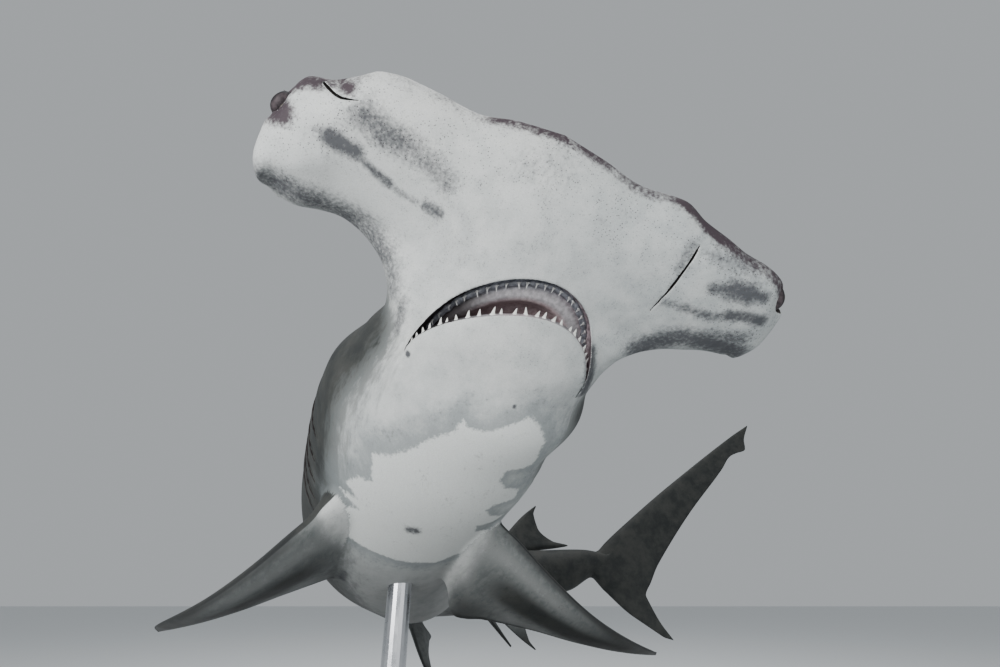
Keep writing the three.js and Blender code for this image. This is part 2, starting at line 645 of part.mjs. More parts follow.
// Fins
const PECTORAL_ROOT = { a: 0.205, scale: 1.136 };
const PELVIC_ROOT = { a: 0.458, b: 0.030, c: -0.045 };
const fins = {
  pectoral_fin_right: bodyFin(FINS.pectoral, {
    ...PECTORAL_ROOT, b: 0.061, c: -0.047, lean: -33.1, side: -1, sweep: 27.0, curve: 0.006,
    twist: 5.6, wash: -27.0,
  }),
  pectoral_fin_left: bodyFin(FINS.pectoral, {
    ...PECTORAL_ROOT, b: 0.033, c: -0.045, lean: -39.3, sweep: -9.9, curve: 0.035,
    twist: 13.2, wash: -14.1,
  }),
  dorsal_fin_first: bodyFin(FINS.firstDorsal, { a: 0.255, c: 0.068, lean: 90 }),
  dorsal_fin_second: bodyFin(FINS.secondDorsal, { a: 0.625, c: 0.028, lean: 90, scale: 1.107 }),
  anal_fin: bodyFin(FINS.anal, { a: 0.600, c: -0.030, lean: -90 }),
  pelvic_fin_right: bodyFin(FINS.pelvic, { ...PELVIC_ROOT, lean: -79.7, side: -1 }),
  pelvic_fin_left: bodyFin(FINS.pelvic, { ...PELVIC_ROOT, lean: -81.0 }),
};
const upperLobe = tailLobe(FINS.upperLobe, { angle: 26.6, up: 1, scale: 1.011 });
const lowerLobe = tailLobe(FINS.lowerLobe, { angle: 39.5, up: -1, scale: 0.814 });

// Stand: a flat base and two rods that end just short of the belly
const BASE = { width: 1300, depth: 1050, height: 40, corner: 60, bevel: 5 };
const RODS = { rod_front: 0.265, rod_rear: 0.405 };
const ROD = { radius: 28, collar: 70, collarHeight: 14 };

function standBase() {
  const [x, y, r] = [BASE.width / 2 - BASE.bevel, BASE.depth / 2 - BASE.bevel, BASE.corner];
  const outline = new THREE.Shape();
  outline.moveTo(-x + r, -y).lineTo(x - r, -y).absarc(x - r, -y + r, r, -Math.PI / 2, 0)
    .lineTo(x, y - r).absarc(x - r, y - r, r, 0, Math.PI / 2)
    .lineTo(-x + r, y).absarc(-x + r, y - r, r, Math.PI / 2, Math.PI)
    .lineTo(-x, -y + r).absarc(-x + r, -y + r, r, Math.PI, 1.5 * Math.PI);
  const base = new THREE.ExtrudeGeometry(outline, {
    depth: BASE.height - 2 * BASE.bevel, curveSegments: 5,
    bevelThickness: BASE.bevel, bevelSize: BASE.bevel, bevelSegments: 1,
  });
  return base.translate(0, 0, BASE.bevel);
}

function standRod(station) {
  const top = spineAt(station).at;
  const bottom = BASE.height + GAP;
  const step = bottom + ROD.collarHeight;
  const section = [[0, bottom], [ROD.collar, bottom], [ROD.collar, step], [ROD.radius, step],
    [ROD.radius, top.z], [0, top.z]];
  const rod = new THREE.LatheGeometry(section.map(([x, z]) => new THREE.Vector2(x, z)), 20);
  return rod.rotateX(Math.PI / 2).translate(top.x, top.y, 0);
}

// Colours
const COLOURS = {
  skin: 0xb9bbb3, upper: 0x6d6a60, fin: 0x77756c, tail: 0x5f625d, eye: 0x1c1a14,
  stand: 0x2b2d30, rod: 0x9a9da1,
};

const shark = new THREE.Group();

function addPart(name, geometry, colour, roughness = 0.6, metalness = 0) {
  const material = new THREE.MeshStandardMaterial({ color: colour, roughness, metalness });
  const mesh = new THREE.Mesh(geometry, material);
  mesh.name = name;
  shark.add(mesh);
}

addPart('head', geometryOf(head), COLOURS.skin);
addPart('lower_jaw', geometryOf(jaw), COLOURS.skin);
addPart('eye_left', geometryOf(solid(eyeball(1, 0))), COLOURS.eye, 0.1);
addPart('eye_right', geometryOf(solid(eyeball(-1, 0))), COLOURS.eye, 0.1);
for (const [name, length] of Object.entries(lengths)) addPart(name, geometryOf(length), COLOURS.upper);
for (const [name, fin] of Object.entries(fins)) {
  addPart(name, geometryOf(solid(fin).subtract(clearance)), COLOURS.fin);
}
for (const [name, lobe, up] of [['tail_fin_upper', upperLobe, 1], ['tail_fin_lower', lowerLobe, -1]]) {
  addPart(name, geometryOf(solid(lobe).intersect(solid(forkSide(up))).subtract(clearance)), COLOURS.tail);
}
addPart('stand_base', geometryOf(solid(standBase())), COLOURS.stand, 0.5);
for (const [name, station] of Object.entries(RODS)) {
  addPart(`stand_${name}`, geometryOf(solid(standRod(station)).subtract(clearance)), COLOURS.rod, 0.35, 0.9);
}

export default shark;
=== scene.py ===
# A great hammerhead shark at life size, banking with its jaw a little open over a plain display stand.
#
# The skin is worked out on a straight body first, in shares of its total length: a runs back from the snout,
# b to the shark's left and c up. The spine then bends it into its swimming pose, and everything below is in
# metres. Fins are joined to the body and the mouth, nostrils, gills and eye sockets are cut into it.

import math
import random
import bmesh
import bpy
import numpy as np
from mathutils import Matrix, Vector, kdtree


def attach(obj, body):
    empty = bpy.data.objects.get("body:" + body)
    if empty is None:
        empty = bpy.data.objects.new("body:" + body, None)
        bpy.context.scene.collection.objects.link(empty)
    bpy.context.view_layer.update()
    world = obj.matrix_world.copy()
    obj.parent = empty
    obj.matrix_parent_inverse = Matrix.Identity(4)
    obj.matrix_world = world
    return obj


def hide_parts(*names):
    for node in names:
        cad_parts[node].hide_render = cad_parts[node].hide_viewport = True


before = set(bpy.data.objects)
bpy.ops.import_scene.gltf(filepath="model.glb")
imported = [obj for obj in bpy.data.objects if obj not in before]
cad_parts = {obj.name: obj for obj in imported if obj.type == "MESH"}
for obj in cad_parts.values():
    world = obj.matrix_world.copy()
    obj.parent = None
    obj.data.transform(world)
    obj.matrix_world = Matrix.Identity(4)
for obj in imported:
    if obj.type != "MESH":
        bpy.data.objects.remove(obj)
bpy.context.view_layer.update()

# Driving dimensions
LENGTH = 3.5
HEAD_SPAN = 0.245
SNOUT = np.array((0.285, -0.920, 1.080))
HEAD_POSE = (-24.5, 30.9, 23.3)
BENDS = (
    (0.12, 0.24, 0.8, -20.7, -30.6),
    (0.22, 0.42, 23.7, 6.6, -27.2),
    (0.38, 0.56, 24.8, -11.9, 6.0),
    (0.52, 0.70, 64.9, -11.7, 21.4),
    (0.70, 0.80, 25.2, 1.8, 11.7),
)
TAIL_END = 0.772


def profile(*points):
    """A smooth curve through (x, y) points that doesn't overshoot them."""
    xs, ys = (np.array(v, float) for v in zip(*points))
    run = np.diff(xs)
    slope = np.diff(ys) / run
    tangent = np.zeros(len(xs))
    tangent[0], tangent[-1] = slope[0], slope[-1]
    for i in range(1, len(xs) - 1):
        if slope[i - 1] * slope[i] > 0:
            before, after = 2 * run[i] + run[i - 1], run[i] + 2 * run[i - 1]
            tangent[i] = (before + after) / (before / slope[i - 1] + after / slope[i])

    def value(x):
        x = np.clip(np.asarray(x, float), xs[0], xs[-1])
        i = np.clip(np.searchsorted(xs, x, side="right") - 1, 0, len(xs) - 2)
        t = (x - xs[i]) / run[i]
        s = 1 - t
        return ((1 + 2 * t) * s * s * ys[i] + t * s * s * run[i] * tangent[i]
                + t * t * (3 - 2 * t) * ys[i + 1] - t * t * s * run[i] * tangent[i + 1])
    return value


def smooth(t):
    t = np.clip(t, 0, 1)
    return t * t * (3 - 2 * t)


def ramp(x, start, end):
    return smooth((x - start) / (end - start))


def hill(x, width):
    return np.exp(-(x / width) ** 2)


# Section of the straight body: half width, height above and depth below the spine, and how far it sways aside
half_width = profile(
    (0, 0.1238), (0.006, 0.1252), (0.016, 0.1267), (0.026, 0.1275), (0.036, 0.1250), (0.047, 0.1190),
    (0.054, 0.1164), (0.063, 0.1038), (0.0725, 0.0888), (0.081, 0.0766), (0.090, 0.0674), (0.101, 0.0620),
    (0.112, 0.0604), (0.13, 0.0660), (0.16, 0.0705), (0.20, 0.0737), (0.26, 0.0737), (0.33, 0.074),
    (0.42, 0.060), (0.50, 0.0462), (0.60, 0.0297), (0.68, 0.0193), (0.715, 0.0163), (0.745, 0.010),
    (0.772, 0.003))
top_height = profile(
    (0, 0.006), (0.01, 0.013), (0.03, 0.022), (0.06, 0.032), (0.10, 0.046), (0.16, 0.064), (0.20, 0.071),
    (0.26, 0.079), (0.33, 0.078), (0.42, 0.064), (0.50, 0.050), (0.60, 0.0355), (0.68, 0.025),
    (0.715, 0.022), (0.745, 0.018), (0.772, 0.009))
belly_depth = profile(
    (0, 0.006), (0.01, 0.012), (0.03, 0.019), (0.06, 0.026), (0.075, 0.032), (0.10, 0.0438), (0.13, 0.0589),
    (0.16, 0.0602), (0.20, 0.0622), (0.26, 0.0709), (0.33, 0.0719), (0.42, 0.0680), (0.50, 0.0488),
    (0.60, 0.0416), (0.68, 0.0302), (0.715, 0.0265), (0.745, 0.014), (0.772, 0.005))
sway = profile(
    (0.07, 0), (0.09, 0.0042), (0.105, 0.0055), (0.13, 0.0035), (0.16, -0.0055), (0.20, -0.0031), (0.26, 0))
boxiness = profile((0, 10), (0.03, 8), (0.06, 5), (0.09, 2.6), (0.12, 2.2), (0.30, 2.1), (0.80, 2.0))

# The hammer: a flat blade whose front edge runs back in shallow lobes, and its two wings
NOSE = 0.018
KEEL = 0.050
blade_thickness = profile((0, 0.0135), (0.02, 0.0150), (0.05, 0.0135), (0.08, 0.0105), (0.10, 0.0100))
front_edge_right = profile(
    (0, 0), (0.09, 0.0097), (0.17, 0.0262), (0.25, 0.0215), (0.30, 0.0210), (0.35, 0.0288), (0.39, 0.0541),
    (0.43, 0.0759), (0.465, 0.0840), (0.495, 0.1228))
front_edge_left = profile(
    (0, 0), (0.09, 0.0130), (0.17, 0.0275), (0.25, 0.0199), (0.30, 0.0384), (0.35, 0.0501), (0.39, 0.0609),
    (0.43, 0.0658), (0.465, 0.0779), (0.495, 0.1073))
# Lift, sweep, twist in degrees, shift of the rear edge and reach of each wing
WINGS = {
    "right": (-0.0177, -0.0028, -16.3, 0.0111, -0.0018),
    "left": (-0.0057, -0.0003, 12.8, -0.0045, 0.0029),
}

# The mouth: an upper lip in an arch, and a lower jaw that hangs open below it
LIP = dict(front=0.0603, depth=0.0489, centre=0.0125, half=0.0435, skew=0.0071)
JAW = dict(front=0.0720, drop=0.013, rise=0.008, fade=0.13, breadth=1.15)


def lip_arch(front, b):
    across = np.clip((b - LIP["centre"]) / LIP["half"], -1, 1)
    corner = LIP["front"] + LIP["depth"]
    skew = LIP["skew"] * np.sin(across * np.pi / 2)
    return front + (corner - front) * (1 - np.sqrt(1 - across ** 2)) - skew


def jaw_drop(a, b):
    across = np.abs(b - LIP["centre"]) / (JAW["breadth"] * LIP["half"])
    rim = lip_arch(JAW["front"], b)
    before = smooth((a - rim) / JAW["rise"] + 1)
    behind = 1 - smooth((a - rim) / np.maximum(JAW["fade"] - rim, 1e-3))
    return np.where(across < 1, JAW["drop"] * (1 - across ** 4) * np.where(a < rim, before, behind), 0)


def front_shift(station, b):
    out = np.abs(b) / HEAD_SPAN
    edge = np.where(b > 0, front_edge_left(out), front_edge_right(out))
    return edge * HEAD_SPAN * (1 - ramp(station, 0.03, 0.10))


def wing_shift(a, b, station):
    """How far a wing moves a point of the hammer back, aside and up."""
    out = ramp(np.abs(b), 0.035, 0.1225) * (1 - ramp(station, 0.03, 0.09))
    lift, sweep, twist, rear, reach = (
        np.where(b > 0, left, right) for left, right in zip(WINGS["left"], WINGS["right"]))
    back = out * (sweep + rear * ramp(station, 0.04, 0.06))
    aside = np.sign(b) * out * reach + sway(station)
    return back, aside, out * (lift + np.tan(np.radians(twist)) * (a - 0.03))


def station_of(a, b):
    """The station of the section that holds a point of the hammer."""
    station = np.array(a, float)
    for _ in range(20):
        station = 0.5 * (station + np.maximum(0, a - front_shift(station, b)))
    return station


def skin(station, across, upper):
    """Points (a, b, c) of the straight body's skin, at shares across from -1, right, to 1, left."""
    b = across * half_width(station)
    roundness = np.sqrt(np.clip(1 - np.abs(across) ** boxiness(station), 0, 1))
    nose = np.clip(station / NOSE, 0, 1)
    nose_round = np.sqrt(np.clip(1 - (1 - nose) ** 2, 0, 1))
    trunk = ramp(station, 0.065, 0.10)
    keel = trunk + (1 - trunk) * np.exp(-(np.abs(b) / KEEL) ** 2.2)
    core = np.where(upper, top_height(station), belly_depth(station))
    blade = blade_thickness(station)
    height = roundness * nose_round * (blade + (core - blade) * keel)
    a = station + front_shift(station, b)
    back, aside, up = wing_shift(a, b, station)
    drop = np.where(upper, 0, jaw_drop(a + back, b + aside) * roundness)
    return np.stack((a + back, b + aside, np.where(upper, height, -height) + up - drop), -1)


def under(a, b):
    """The skin's height on the underside, at places (a, b)."""
    station = station_of(a, b)
    return skin(station, np.clip((b - sway(station)) / half_width(station), -1, 1), False)[..., 2]


# The spine
def turn_at(station):
    """The directions left, back and up at stations, as columns."""
    yaw, pitch, roll = (np.full(np.shape(station), v, float) for v in HEAD_POSE)
    for start, end, by_yaw, by_pitch, by_roll in BENDS:
        share = ramp(station, start, end)
        yaw, pitch, roll = yaw + share * by_yaw, pitch + share * by_pitch, roll + share * by_roll
    z, x, y = np.radians(-yaw), np.radians(-pitch), np.radians(roll)
    cz, sz, cx, sx, cy, sy = np.cos(z), np.sin(z), np.cos(x), np.sin(x), np.cos(y), np.sin(y)
    left = np.stack((cz * cy - sz * sx * sy, sz * cy + cz * sx * sy, -cx * sy), -1)
    back = np.stack((-sz * cx, cz * cx, sx), -1)
    up = np.stack((cz * sy + sz * sx * cy, sz * sy - cz * sx * cy, cx * cy), -1)
    return left, back, up


SPINE_STEPS = 2000
spine_left, spine_back, spine_up = turn_at(np.linspace(0, 1, SPINE_STEPS + 1))
spine_steps = 0.5 * (spine_back[1:] + spine_back[:-1]) * LENGTH / SPINE_STEPS
spine_at = SNOUT + np.vstack((np.zeros(3), np.cumsum(spine_steps, axis=0)))


def along_spine(table, station):
    place = np.clip(station, 0, 1) * SPINE_STEPS
    i = np.minimum(place.astype(int), SPINE_STEPS - 1)
    t = (place - i)[..., None]
    return table[i] * (1 - t) + table[i + 1] * t


def bend(points):
    """Takes points (a, b, c) of the straight body into the pose."""
    a, b, c = (points[..., k] for k in range(3))
    at = along_spine(spine_at, a) + np.minimum(a, 0)[..., None] * LENGTH * spine_back[0]
    return at + LENGTH * (b[..., None] * along_spine(spine_left, a) + c[..., None] * along_spine(spine_up, a))


def stiff(station, points):
    """Takes points of a stiff piece into the pose with the direction of the spine at one station."""
    station = np.array(float(station))
    shift = (points[..., 0] - station)[..., None] * along_spine(spine_back, station)
    aside = points[..., 1:2] * along_spine(spine_left, station)
    rise = points[..., 2:3] * along_spine(spine_up, station)
    return along_spine(spine_at, station) + LENGTH * (shift + aside + rise)


# Mesh helpers
def new_object(name, points, polygons, marks=None):
    """A mesh object from an array of points and lists of polygons, with float marks on its points."""
    mesh = bpy.data.meshes.new(name)
    mesh.from_pydata(points.reshape(-1, 3).tolist(), [], polygons)
    for key, values in (marks or {}).items():
        values = np.asarray(values, np.float32)
        if values.ndim == 1:
            mesh.attributes.new(key, "FLOAT", "POINT").data.foreach_set("value", values)
        else:
            mesh.attributes.new(key, "FLOAT_VECTOR", "POINT").data.foreach_set("vector", values.ravel())
    piece = bpy.data.objects.new(name, mesh)
    bpy.context.scene.collection.objects.link(piece)
    return piece


def loft_polygons(rows, around, folded_start=False):
    """Quads over rows of rings with fans at the ends, whose centre points are the two that follow the rows.
    The first ring may be folded flat into an edge."""
    def at(i, j):
        j = j % around
        return i * around + (np.minimum(j, around - j) % around if folded_start and i == 0 else j)
    j = np.arange(around)
    polygons = []
    for i in range(rows - 1):
        quads = np.stack((at(i, j), at(i + 1, j), at(i + 1, j + 1), at(i, j + 1)), -1)
        if folded_start and i == 0:
            polygons += [[p for k, p in enumerate(quad) if p not in quad[:k]] for quad in quads.tolist()]
        else:
            polygons += quads.tolist()
    start, end = rows * around, rows * around + 1
    if not folded_start:
        polygons += np.stack((at(0, j), at(0, j + 1), np.full(around, start)), -1).tolist()
    polygons += np.stack((at(rows - 1, j + 1), at(rows - 1, j), np.full(around, end)), -1).tolist()
    return polygons


def with_centres(grid):
    """The points of a grid of rings, followed by the middles of its first and last rings."""
    flat = grid.reshape(-1, grid.shape[-1])
    return np.vstack((flat, grid[0].mean(0), grid[-1].mean(0)))


def loft(name, grid, marks=None, folded_start=False):
    rows, around = grid.shape[:2]
    marks = {key: with_centres(np.broadcast_to(v, grid.shape[:2] + np.shape(v)[2:]).reshape(rows, around, -1))
             for key, v in (marks or {}).items()}
    marks = {key: v[:, 0] if v.shape[1] == 1 else v for key, v in marks.items()}
    piece = new_object(name, with_centres(grid), loft_polygons(rows, around, folded_start), marks)
    face_outward(piece)
    return piece


def face_outward(piece):
    """Turns a closed mesh so that its faces point out, and drops points that no face uses."""
    work = bmesh.new()
    work.from_mesh(piece.data)
    bmesh.ops.delete(work, geom=[v for v in work.verts if not v.link_faces], context="VERTS")
    if work.calc_volume(signed=True) < 0:
        bmesh.ops.reverse_faces(work, faces=work.faces)
    work.to_mesh(piece.data)
    work.free()


def read(mesh, key, width=1):
    """A point attribute of a mesh as an array."""
    values = np.empty(len(mesh.vertices) * width, np.float32)
    if key == "co":
        mesh.vertices.foreach_get("co", values)
    else:
        mesh.attributes[key].data.foreach_get("vector" if width == 3 else "value", values)
    return values.reshape(-1, 3) if width == 3 else values


def write(mesh, key, values):
    values = np.asarray(values, np.float32)
    if key == "co":
        mesh.vertices.foreach_set("co", values.ravel())
        mesh.update()
    else:
        mesh.attributes[key].data.foreach_set("vector" if values.ndim == 2 else "value", values.ravel())


def edges_of(mesh):
    edges = np.empty(len(mesh.edges) * 2, np.int32)
    mesh.edges.foreach_get("vertices", edges)
    return edges.reshape(-1, 2)


def neighbour_mean(edges, values):
    """For each point, the mean of the values at the points that it shares an edge with."""
    count = len(values)
    both = np.concatenate((edges[:, 0], edges[:, 1]))
    other = np.concatenate((edges[:, 1], edges[:, 0]))
    degree = np.maximum(np.bincount(both, minlength=count), 1)
    if values.ndim == 1:
        return np.bincount(both, weights=values[other], minlength=count) / degree
    return np.stack([np.bincount(both, weights=column[other], minlength=count) / degree
                     for column in values.T], -1)


# Body skin
AROUND = 440
CROWD = 0.4
SLIT_FROM, SLIT_TO = 0.172, 0.250


def body_stations():
    nose = NOSE * (1 - np.cos(np.linspace(0, np.pi / 2, 26)))
    stretches = ((NOSE, 0.125, 0.00085), (0.125, SLIT_FROM, 0.0015), (SLIT_FROM, SLIT_TO, 0.0009),
                 (SLIT_TO, 0.36, 0.0024), (0.36, TAIL_END, 0.0022))
    rows = [nose]
    for start, end, step in stretches:
        rows.append(np.linspace(start, end, int(round((end - start) / step)) + 1)[1:])
    return np.concatenate(rows)


EYE = dict(radius=0.0057, right=(0.0335, -0.1192), left=(0.0284, 0.1190), gap=0.0004)
# The way that the eyes look: shares of the directions aside and back
GAZE = dict(aside=0.90, back=-0.34)
GILLS = dict(first=0.184, pitch=0.0135, count=5, low=-24, high=34, lean=0.003)


def eye_place(side):
    a, b = (np.array(v) for v in EYE["left" if side > 0 else "right"])
    return np.array((a, b, wing_shift(a, b, station_of(a, b))[2]))


def gill_flaps(station, angle):
    """The skin between the gill slits rises towards each slit, like overlapping flaps."""
    turn = np.degrees(np.arcsin(np.sin(angle)))
    middle, half = (GILLS["low"] + GILLS["high"]) / 2, (GILLS["high"] - GILLS["low"]) / 2
    share = np.clip((turn - GILLS["low"]) / (GILLS["high"] - GILLS["low"]), 0, 1)
    place = (station - GILLS["first"] - GILLS["lean"] * np.sin(share * np.pi)) / GILLS["pitch"]
    within = ramp(place, -1.6, -0.2) * (1 - ramp(place, GILLS["count"] - 1, GILLS["count"] + 0.3))
    saw = np.mod(place, 1.0)
    reach = 1 - ramp(np.abs(turn - middle), half * 0.75, half * 1.35)
    return 0.0011 * within * reach * (saw ** 1.5 - 0.4)


FURROWS = (((0.0940, -0.0410), (0.1085, -0.0340)), ((0.0840, 0.0525), (0.1030, 0.0582)))
NOSTRIL_FLAPS = (((0.0200, 0.0768), (0.0340, 0.0755)), ((0.0155, -0.1000), (0.0165, -0.0910)))


def relief(points, station, angle):
    """Small rises and furrows of the skin, in shares of the length."""
    a, b, c = (points[..., k] for k in range(3))
    lower = np.sin(angle) < 0
    rise = gill_flaps(station, angle)
    for side in (-1, 1):
        distance = np.linalg.norm(points - eye_place(side), axis=-1)
        rise = rise + 0.0012 * hill(distance - 1.35 * EYE["radius"], 0.0022)
    for start, end in FURROWS:
        rise = rise - lower * 0.0014 * hill(segment_distance(a, b, start, end), 0.0030)
    for start, end in NOSTRIL_FLAPS:
        rise = rise + lower * 0.0010 * hill(segment_distance(a, b, start, end), 0.0022)
    return rise


def segment_distance(a, b, start, end):
    """Distance of places (a, b) from a straight stretch between two of them."""
    start, end = np.array(start), np.array(end)
    step = end - start
    t = np.clip(((a - start[0]) * step[0] + (b - start[1]) * step[1]) / (step @ step), 0, 1)
    return np.hypot(a - start[0] - t * step[0], b - start[1] - t * step[1])


def grid_normals(points):
    """Outward normals of a closed grid of rings in straight coordinates."""
    along = np.gradient(points, axis=0)
    around = np.roll(points, -1, 1) - np.roll(points, 1, 1)
    normal = np.cross(along, around)
    normal /= np.linalg.norm(normal, axis=-1)[..., None] + 1e-12
    return normal


def turns(count, crowd):
    turn = np.arange(count) / count * 2 * np.pi
    return turn + crowd / 2 * np.sin(2 * turn)


def body_skin():
    station, angle = np.meshgrid(body_stations(), turns(AROUND, CROWD), indexing="ij")
    points = skin(station, np.cos(angle), np.sin(angle) >= 0)
    normal = grid_normals(points)
    rise = relief(points, station, angle)
    rise[:2] = 0
    return station, angle, points + normal * rise[..., None]


# Fins: the span runs out from the root and the chord runs back from the leading edge
FINS = {
    "pectoral": dict(
        lead=profile((0, -0.006), (0.06, 0.002), (0.15, 0.007), (0.3, 0.020), (0.55, 0.048), (0.8, 0.083),
                     (0.93, 0.110), (1, 0.132)),
        trail=profile((0, 0.068), (0.03, 0.084), (0.06, 0.096), (0.10, 0.102), (0.14, 0.100), (0.2, 0.094),
                      (0.4, 0.089), (0.6, 0.096), (0.8, 0.111), (0.93, 0.126), (1, 0.134)),
        span=0.150, edge=0.0022, root=0.0150),
    "first_dorsal": dict(
        lead=profile((0, -0.010), (0.08, 0.005), (0.25, 0.024), (0.5, 0.049), (0.75, 0.078), (0.92, 0.104),
                     (1, 0.124)),
        trail=profile((0, 0.098), (0.03, 0.122), (0.06, 0.136), (0.12, 0.122), (0.25, 0.100), (0.5, 0.089),
                      (0.75, 0.098), (0.92, 0.116), (1, 0.126)),
        span=0.146, edge=0.0018, root=0.0130),
    "second_dorsal": dict(
        lead=profile((0, -0.006), (0.12, 0.004), (0.5, 0.027), (0.8, 0.048), (1, 0.066)),
        trail=profile((0, 0.048), (0.05, 0.085), (0.10, 0.103), (0.2, 0.082), (0.5, 0.064), (0.8, 0.062),
                      (1, 0.068)),
        span=0.056, edge=0.0016, root=0.0080),
    "anal": dict(
        lead=profile((0, -0.006), (0.12, 0.004), (0.5, 0.026), (0.8, 0.046), (1, 0.062)),
        trail=profile((0, 0.055), (0.05, 0.078), (0.10, 0.092), (0.2, 0.075), (0.5, 0.054), (0.8, 0.056),
                      (1, 0.064)),
        span=0.055, edge=0.0016, root=0.0080),
    "pelvic": dict(
        lead=profile((0, -0.005), (0.12, 0.003), (0.5, 0.018), (0.8, 0.036), (1, 0.054)),
        trail=profile((0, 0.050), (0.05, 0.066), (0.10, 0.076), (0.2, 0.064), (0.5, 0.048), (0.8, 0.048),
                      (1, 0.056)),
        span=0.064, edge=0.0016, root=0.0080),
    "upper_lobe": dict(
        lead=profile((0, 0.022), (0.12, 0.013), (0.25, 0.009), (0.5, 0.004), (0.9, 0.001), (1, 0.002)),
        trail=profile((0, 0.055), (0.06, 0.076), (0.12, 0.086), (0.25, 0.070), (0.5, 0.046), (0.75, 0.028),
                      (0.83, 0.021), (0.86, 0.0225), (0.90, 0.026), (0.94, 0.014), (1, 0.003)),
        span=0.312, edge=0.0022, root=0.0170, taper=1.5),
    "lower_lobe": dict(
        lead=profile((0, 0.018), (0.3, 0.006), (0.6, 0), (0.9, 0), (1, 0.004)),
        trail=profile((0, 0.050), (0.1, 0.062), (0.3, 0.070), (0.6, 0.038), (0.85, 0.014), (1, 0.005)),
        span=0.150, edge=0.0018, root=0.0120),
}
FIN_FULLNESS = 0.45
ROOT_DEPTH = 0.12
ROOT_ROWS = 6


def flat_fin(fin, rows, around, depth=ROOT_DEPTH):
    """Chord, span and rise of the points of a fin lying flat, with their shares of chord and span and their
    side."""
    sunk = np.linspace(-depth, 0, ROOT_ROWS if depth else 0, endpoint=False)
    t = np.concatenate((sunk, np.sin(np.linspace(0, np.pi / 2, rows))))[:, None]
    angle = np.arange(around) / around * 2 * np.pi
    half = 0.5 * (fin["edge"] + fin["root"] * (1 - t) ** fin.get("taper", 1))
    u = (1 - np.cos(angle)) / 2 + 0 * t
    chord = fin["lead"](t) + (fin["trail"](t) - fin["lead"](t)) * u
    rise = half * np.sin(angle) * (1 + FIN_FULLNESS * np.cos(angle))
    return chord, t * fin["span"] + 0 * u, rise, np.stack((u, t + 0 * u, np.sin(angle) + 0 * u), -1)


def fin_marks(points, place, number):
    shape = place.shape[:2]
    return dict(rest=points * LENGTH, place=place, fin=np.full(shape, number), tag=np.ones(shape))


def set_fin(name, number, shape, a, c, lean, b=0, side=1, sweep=0, curve=0, twist=0, wash=0, scale=1,
            rows=110, around=150):
    """A paired or middle fin whose root lies at (a, b, c) and whose span leans by an angle from the side."""
    fin = FINS[shape]
    chord, span, rise, place = flat_fin(fin, rows, around)
    sweep, lean = math.radians(sweep), math.radians(lean)
    x = scale * (chord * math.cos(sweep) + span * math.sin(sweep))
    y = scale * (span * math.cos(sweep) - chord * math.sin(sweep))
    n = scale * rise + curve * (y / fin["span"]) ** 2
    turn = np.radians(twist + wash * (y / fin["span"]))
    x, n = x * np.cos(turn) + n * np.sin(turn), n * np.cos(turn) - x * np.sin(turn)
    points = np.stack((a + x, (b + math.cos(lean) * y - math.sin(lean) * n) * side,
                       c + math.sin(lean) * y + math.cos(lean) * n), -1)
    return loft(name, stiff(a, points), fin_marks(points, place, number))


TAIL_FIN = dict(station=0.72, root=0.732, offset=0.018)


def set_tail_lobe(name, number, shape, angle, up, scale, rows=170, around=150):
    """A lobe of the tail fin, whose leading edge rises or falls by an angle from the line of the tail."""
    chord, span, rise, place = flat_fin(FINS[shape], rows, around, 0)
    lean = math.radians(angle)
    back = TAIL_FIN["root"] + scale * (span * math.cos(lean) + chord * math.sin(lean))
    above = TAIL_FIN["offset"] + scale * (span * math.sin(lean) - chord * math.cos(lean))
    points = np.stack((back, scale * rise, up * above), -1)
    return loft(name, stiff(TAIL_FIN["station"], points), fin_marks(points, place, number))


PECTORAL_ROOT = dict(a=0.205, scale=1.136, rows=150, around=220)
PELVIC_ROOT = dict(a=0.458, b=0.030, c=-0.045)
PECTORAL, DORSAL, LOWER_FIN, TAIL = 1, 2, 3, 4


def fins():
    return [
        set_fin("fin_pr", PECTORAL, "pectoral", b=0.061, c=-0.047, lean=-33.1, side=-1, sweep=27.0,
                curve=0.006, twist=5.6, wash=-27.0, **PECTORAL_ROOT),
        set_fin("fin_pl", PECTORAL, "pectoral", b=0.033, c=-0.045, lean=-39.3, sweep=-9.9, curve=0.035,
                twist=13.2, wash=-14.1, **PECTORAL_ROOT),
        set_fin("fin_d1", DORSAL, "first_dorsal", a=0.255, c=0.068, lean=90),
        set_fin("fin_d2", DORSAL, "second_dorsal", a=0.625, c=0.028, lean=90, scale=1.107),
        set_fin("fin_an", LOWER_FIN, "anal", a=0.600, c=-0.030, lean=-90),
        set_fin("fin_vr", LOWER_FIN, "pelvic", lean=-79.7, side=-1, **PELVIC_ROOT),
        set_fin("fin_vl", LOWER_FIN, "pelvic", lean=-81.0, **PELVIC_ROOT),
        set_tail_lobe("fin_tu", TAIL, "upper_lobe", 26.6, 1, 1.011),
        set_tail_lobe("fin_tl", TAIL, "lower_lobe", 39.5, -1, 0.814),
    ]


# Booleans and rounding
def combine(piece, others, operation):
    """Joins other closed meshes to a piece or cuts them out of it, and removes them."""
    for other in others:
        modifier = piece.modifiers.new("combine", "BOOLEAN")
        modifier.solver = "MANIFOLD"
        modifier.operation = operation
        modifier.object = other
        graph = bpy.context.evaluated_depsgraph_get()
        mesh = bpy.data.meshes.new_from_object(piece.evaluated_get(graph))
        piece.modifiers.clear()
        old, piece.data = piece.data, mesh
        bpy.data.meshes.remove(old)
        bpy.data.meshes.remove(other.data)


def weld(piece, distance):
    work = bmesh.new()
    work.from_mesh(piece.data)
    bmesh.ops.remove_doubles(work, verts=work.verts, dist=distance)
    bmesh.ops.dissolve_degenerate(work, edges=work.edges, dist=distance)
    work.to_mesh(piece.data)
    work.free()


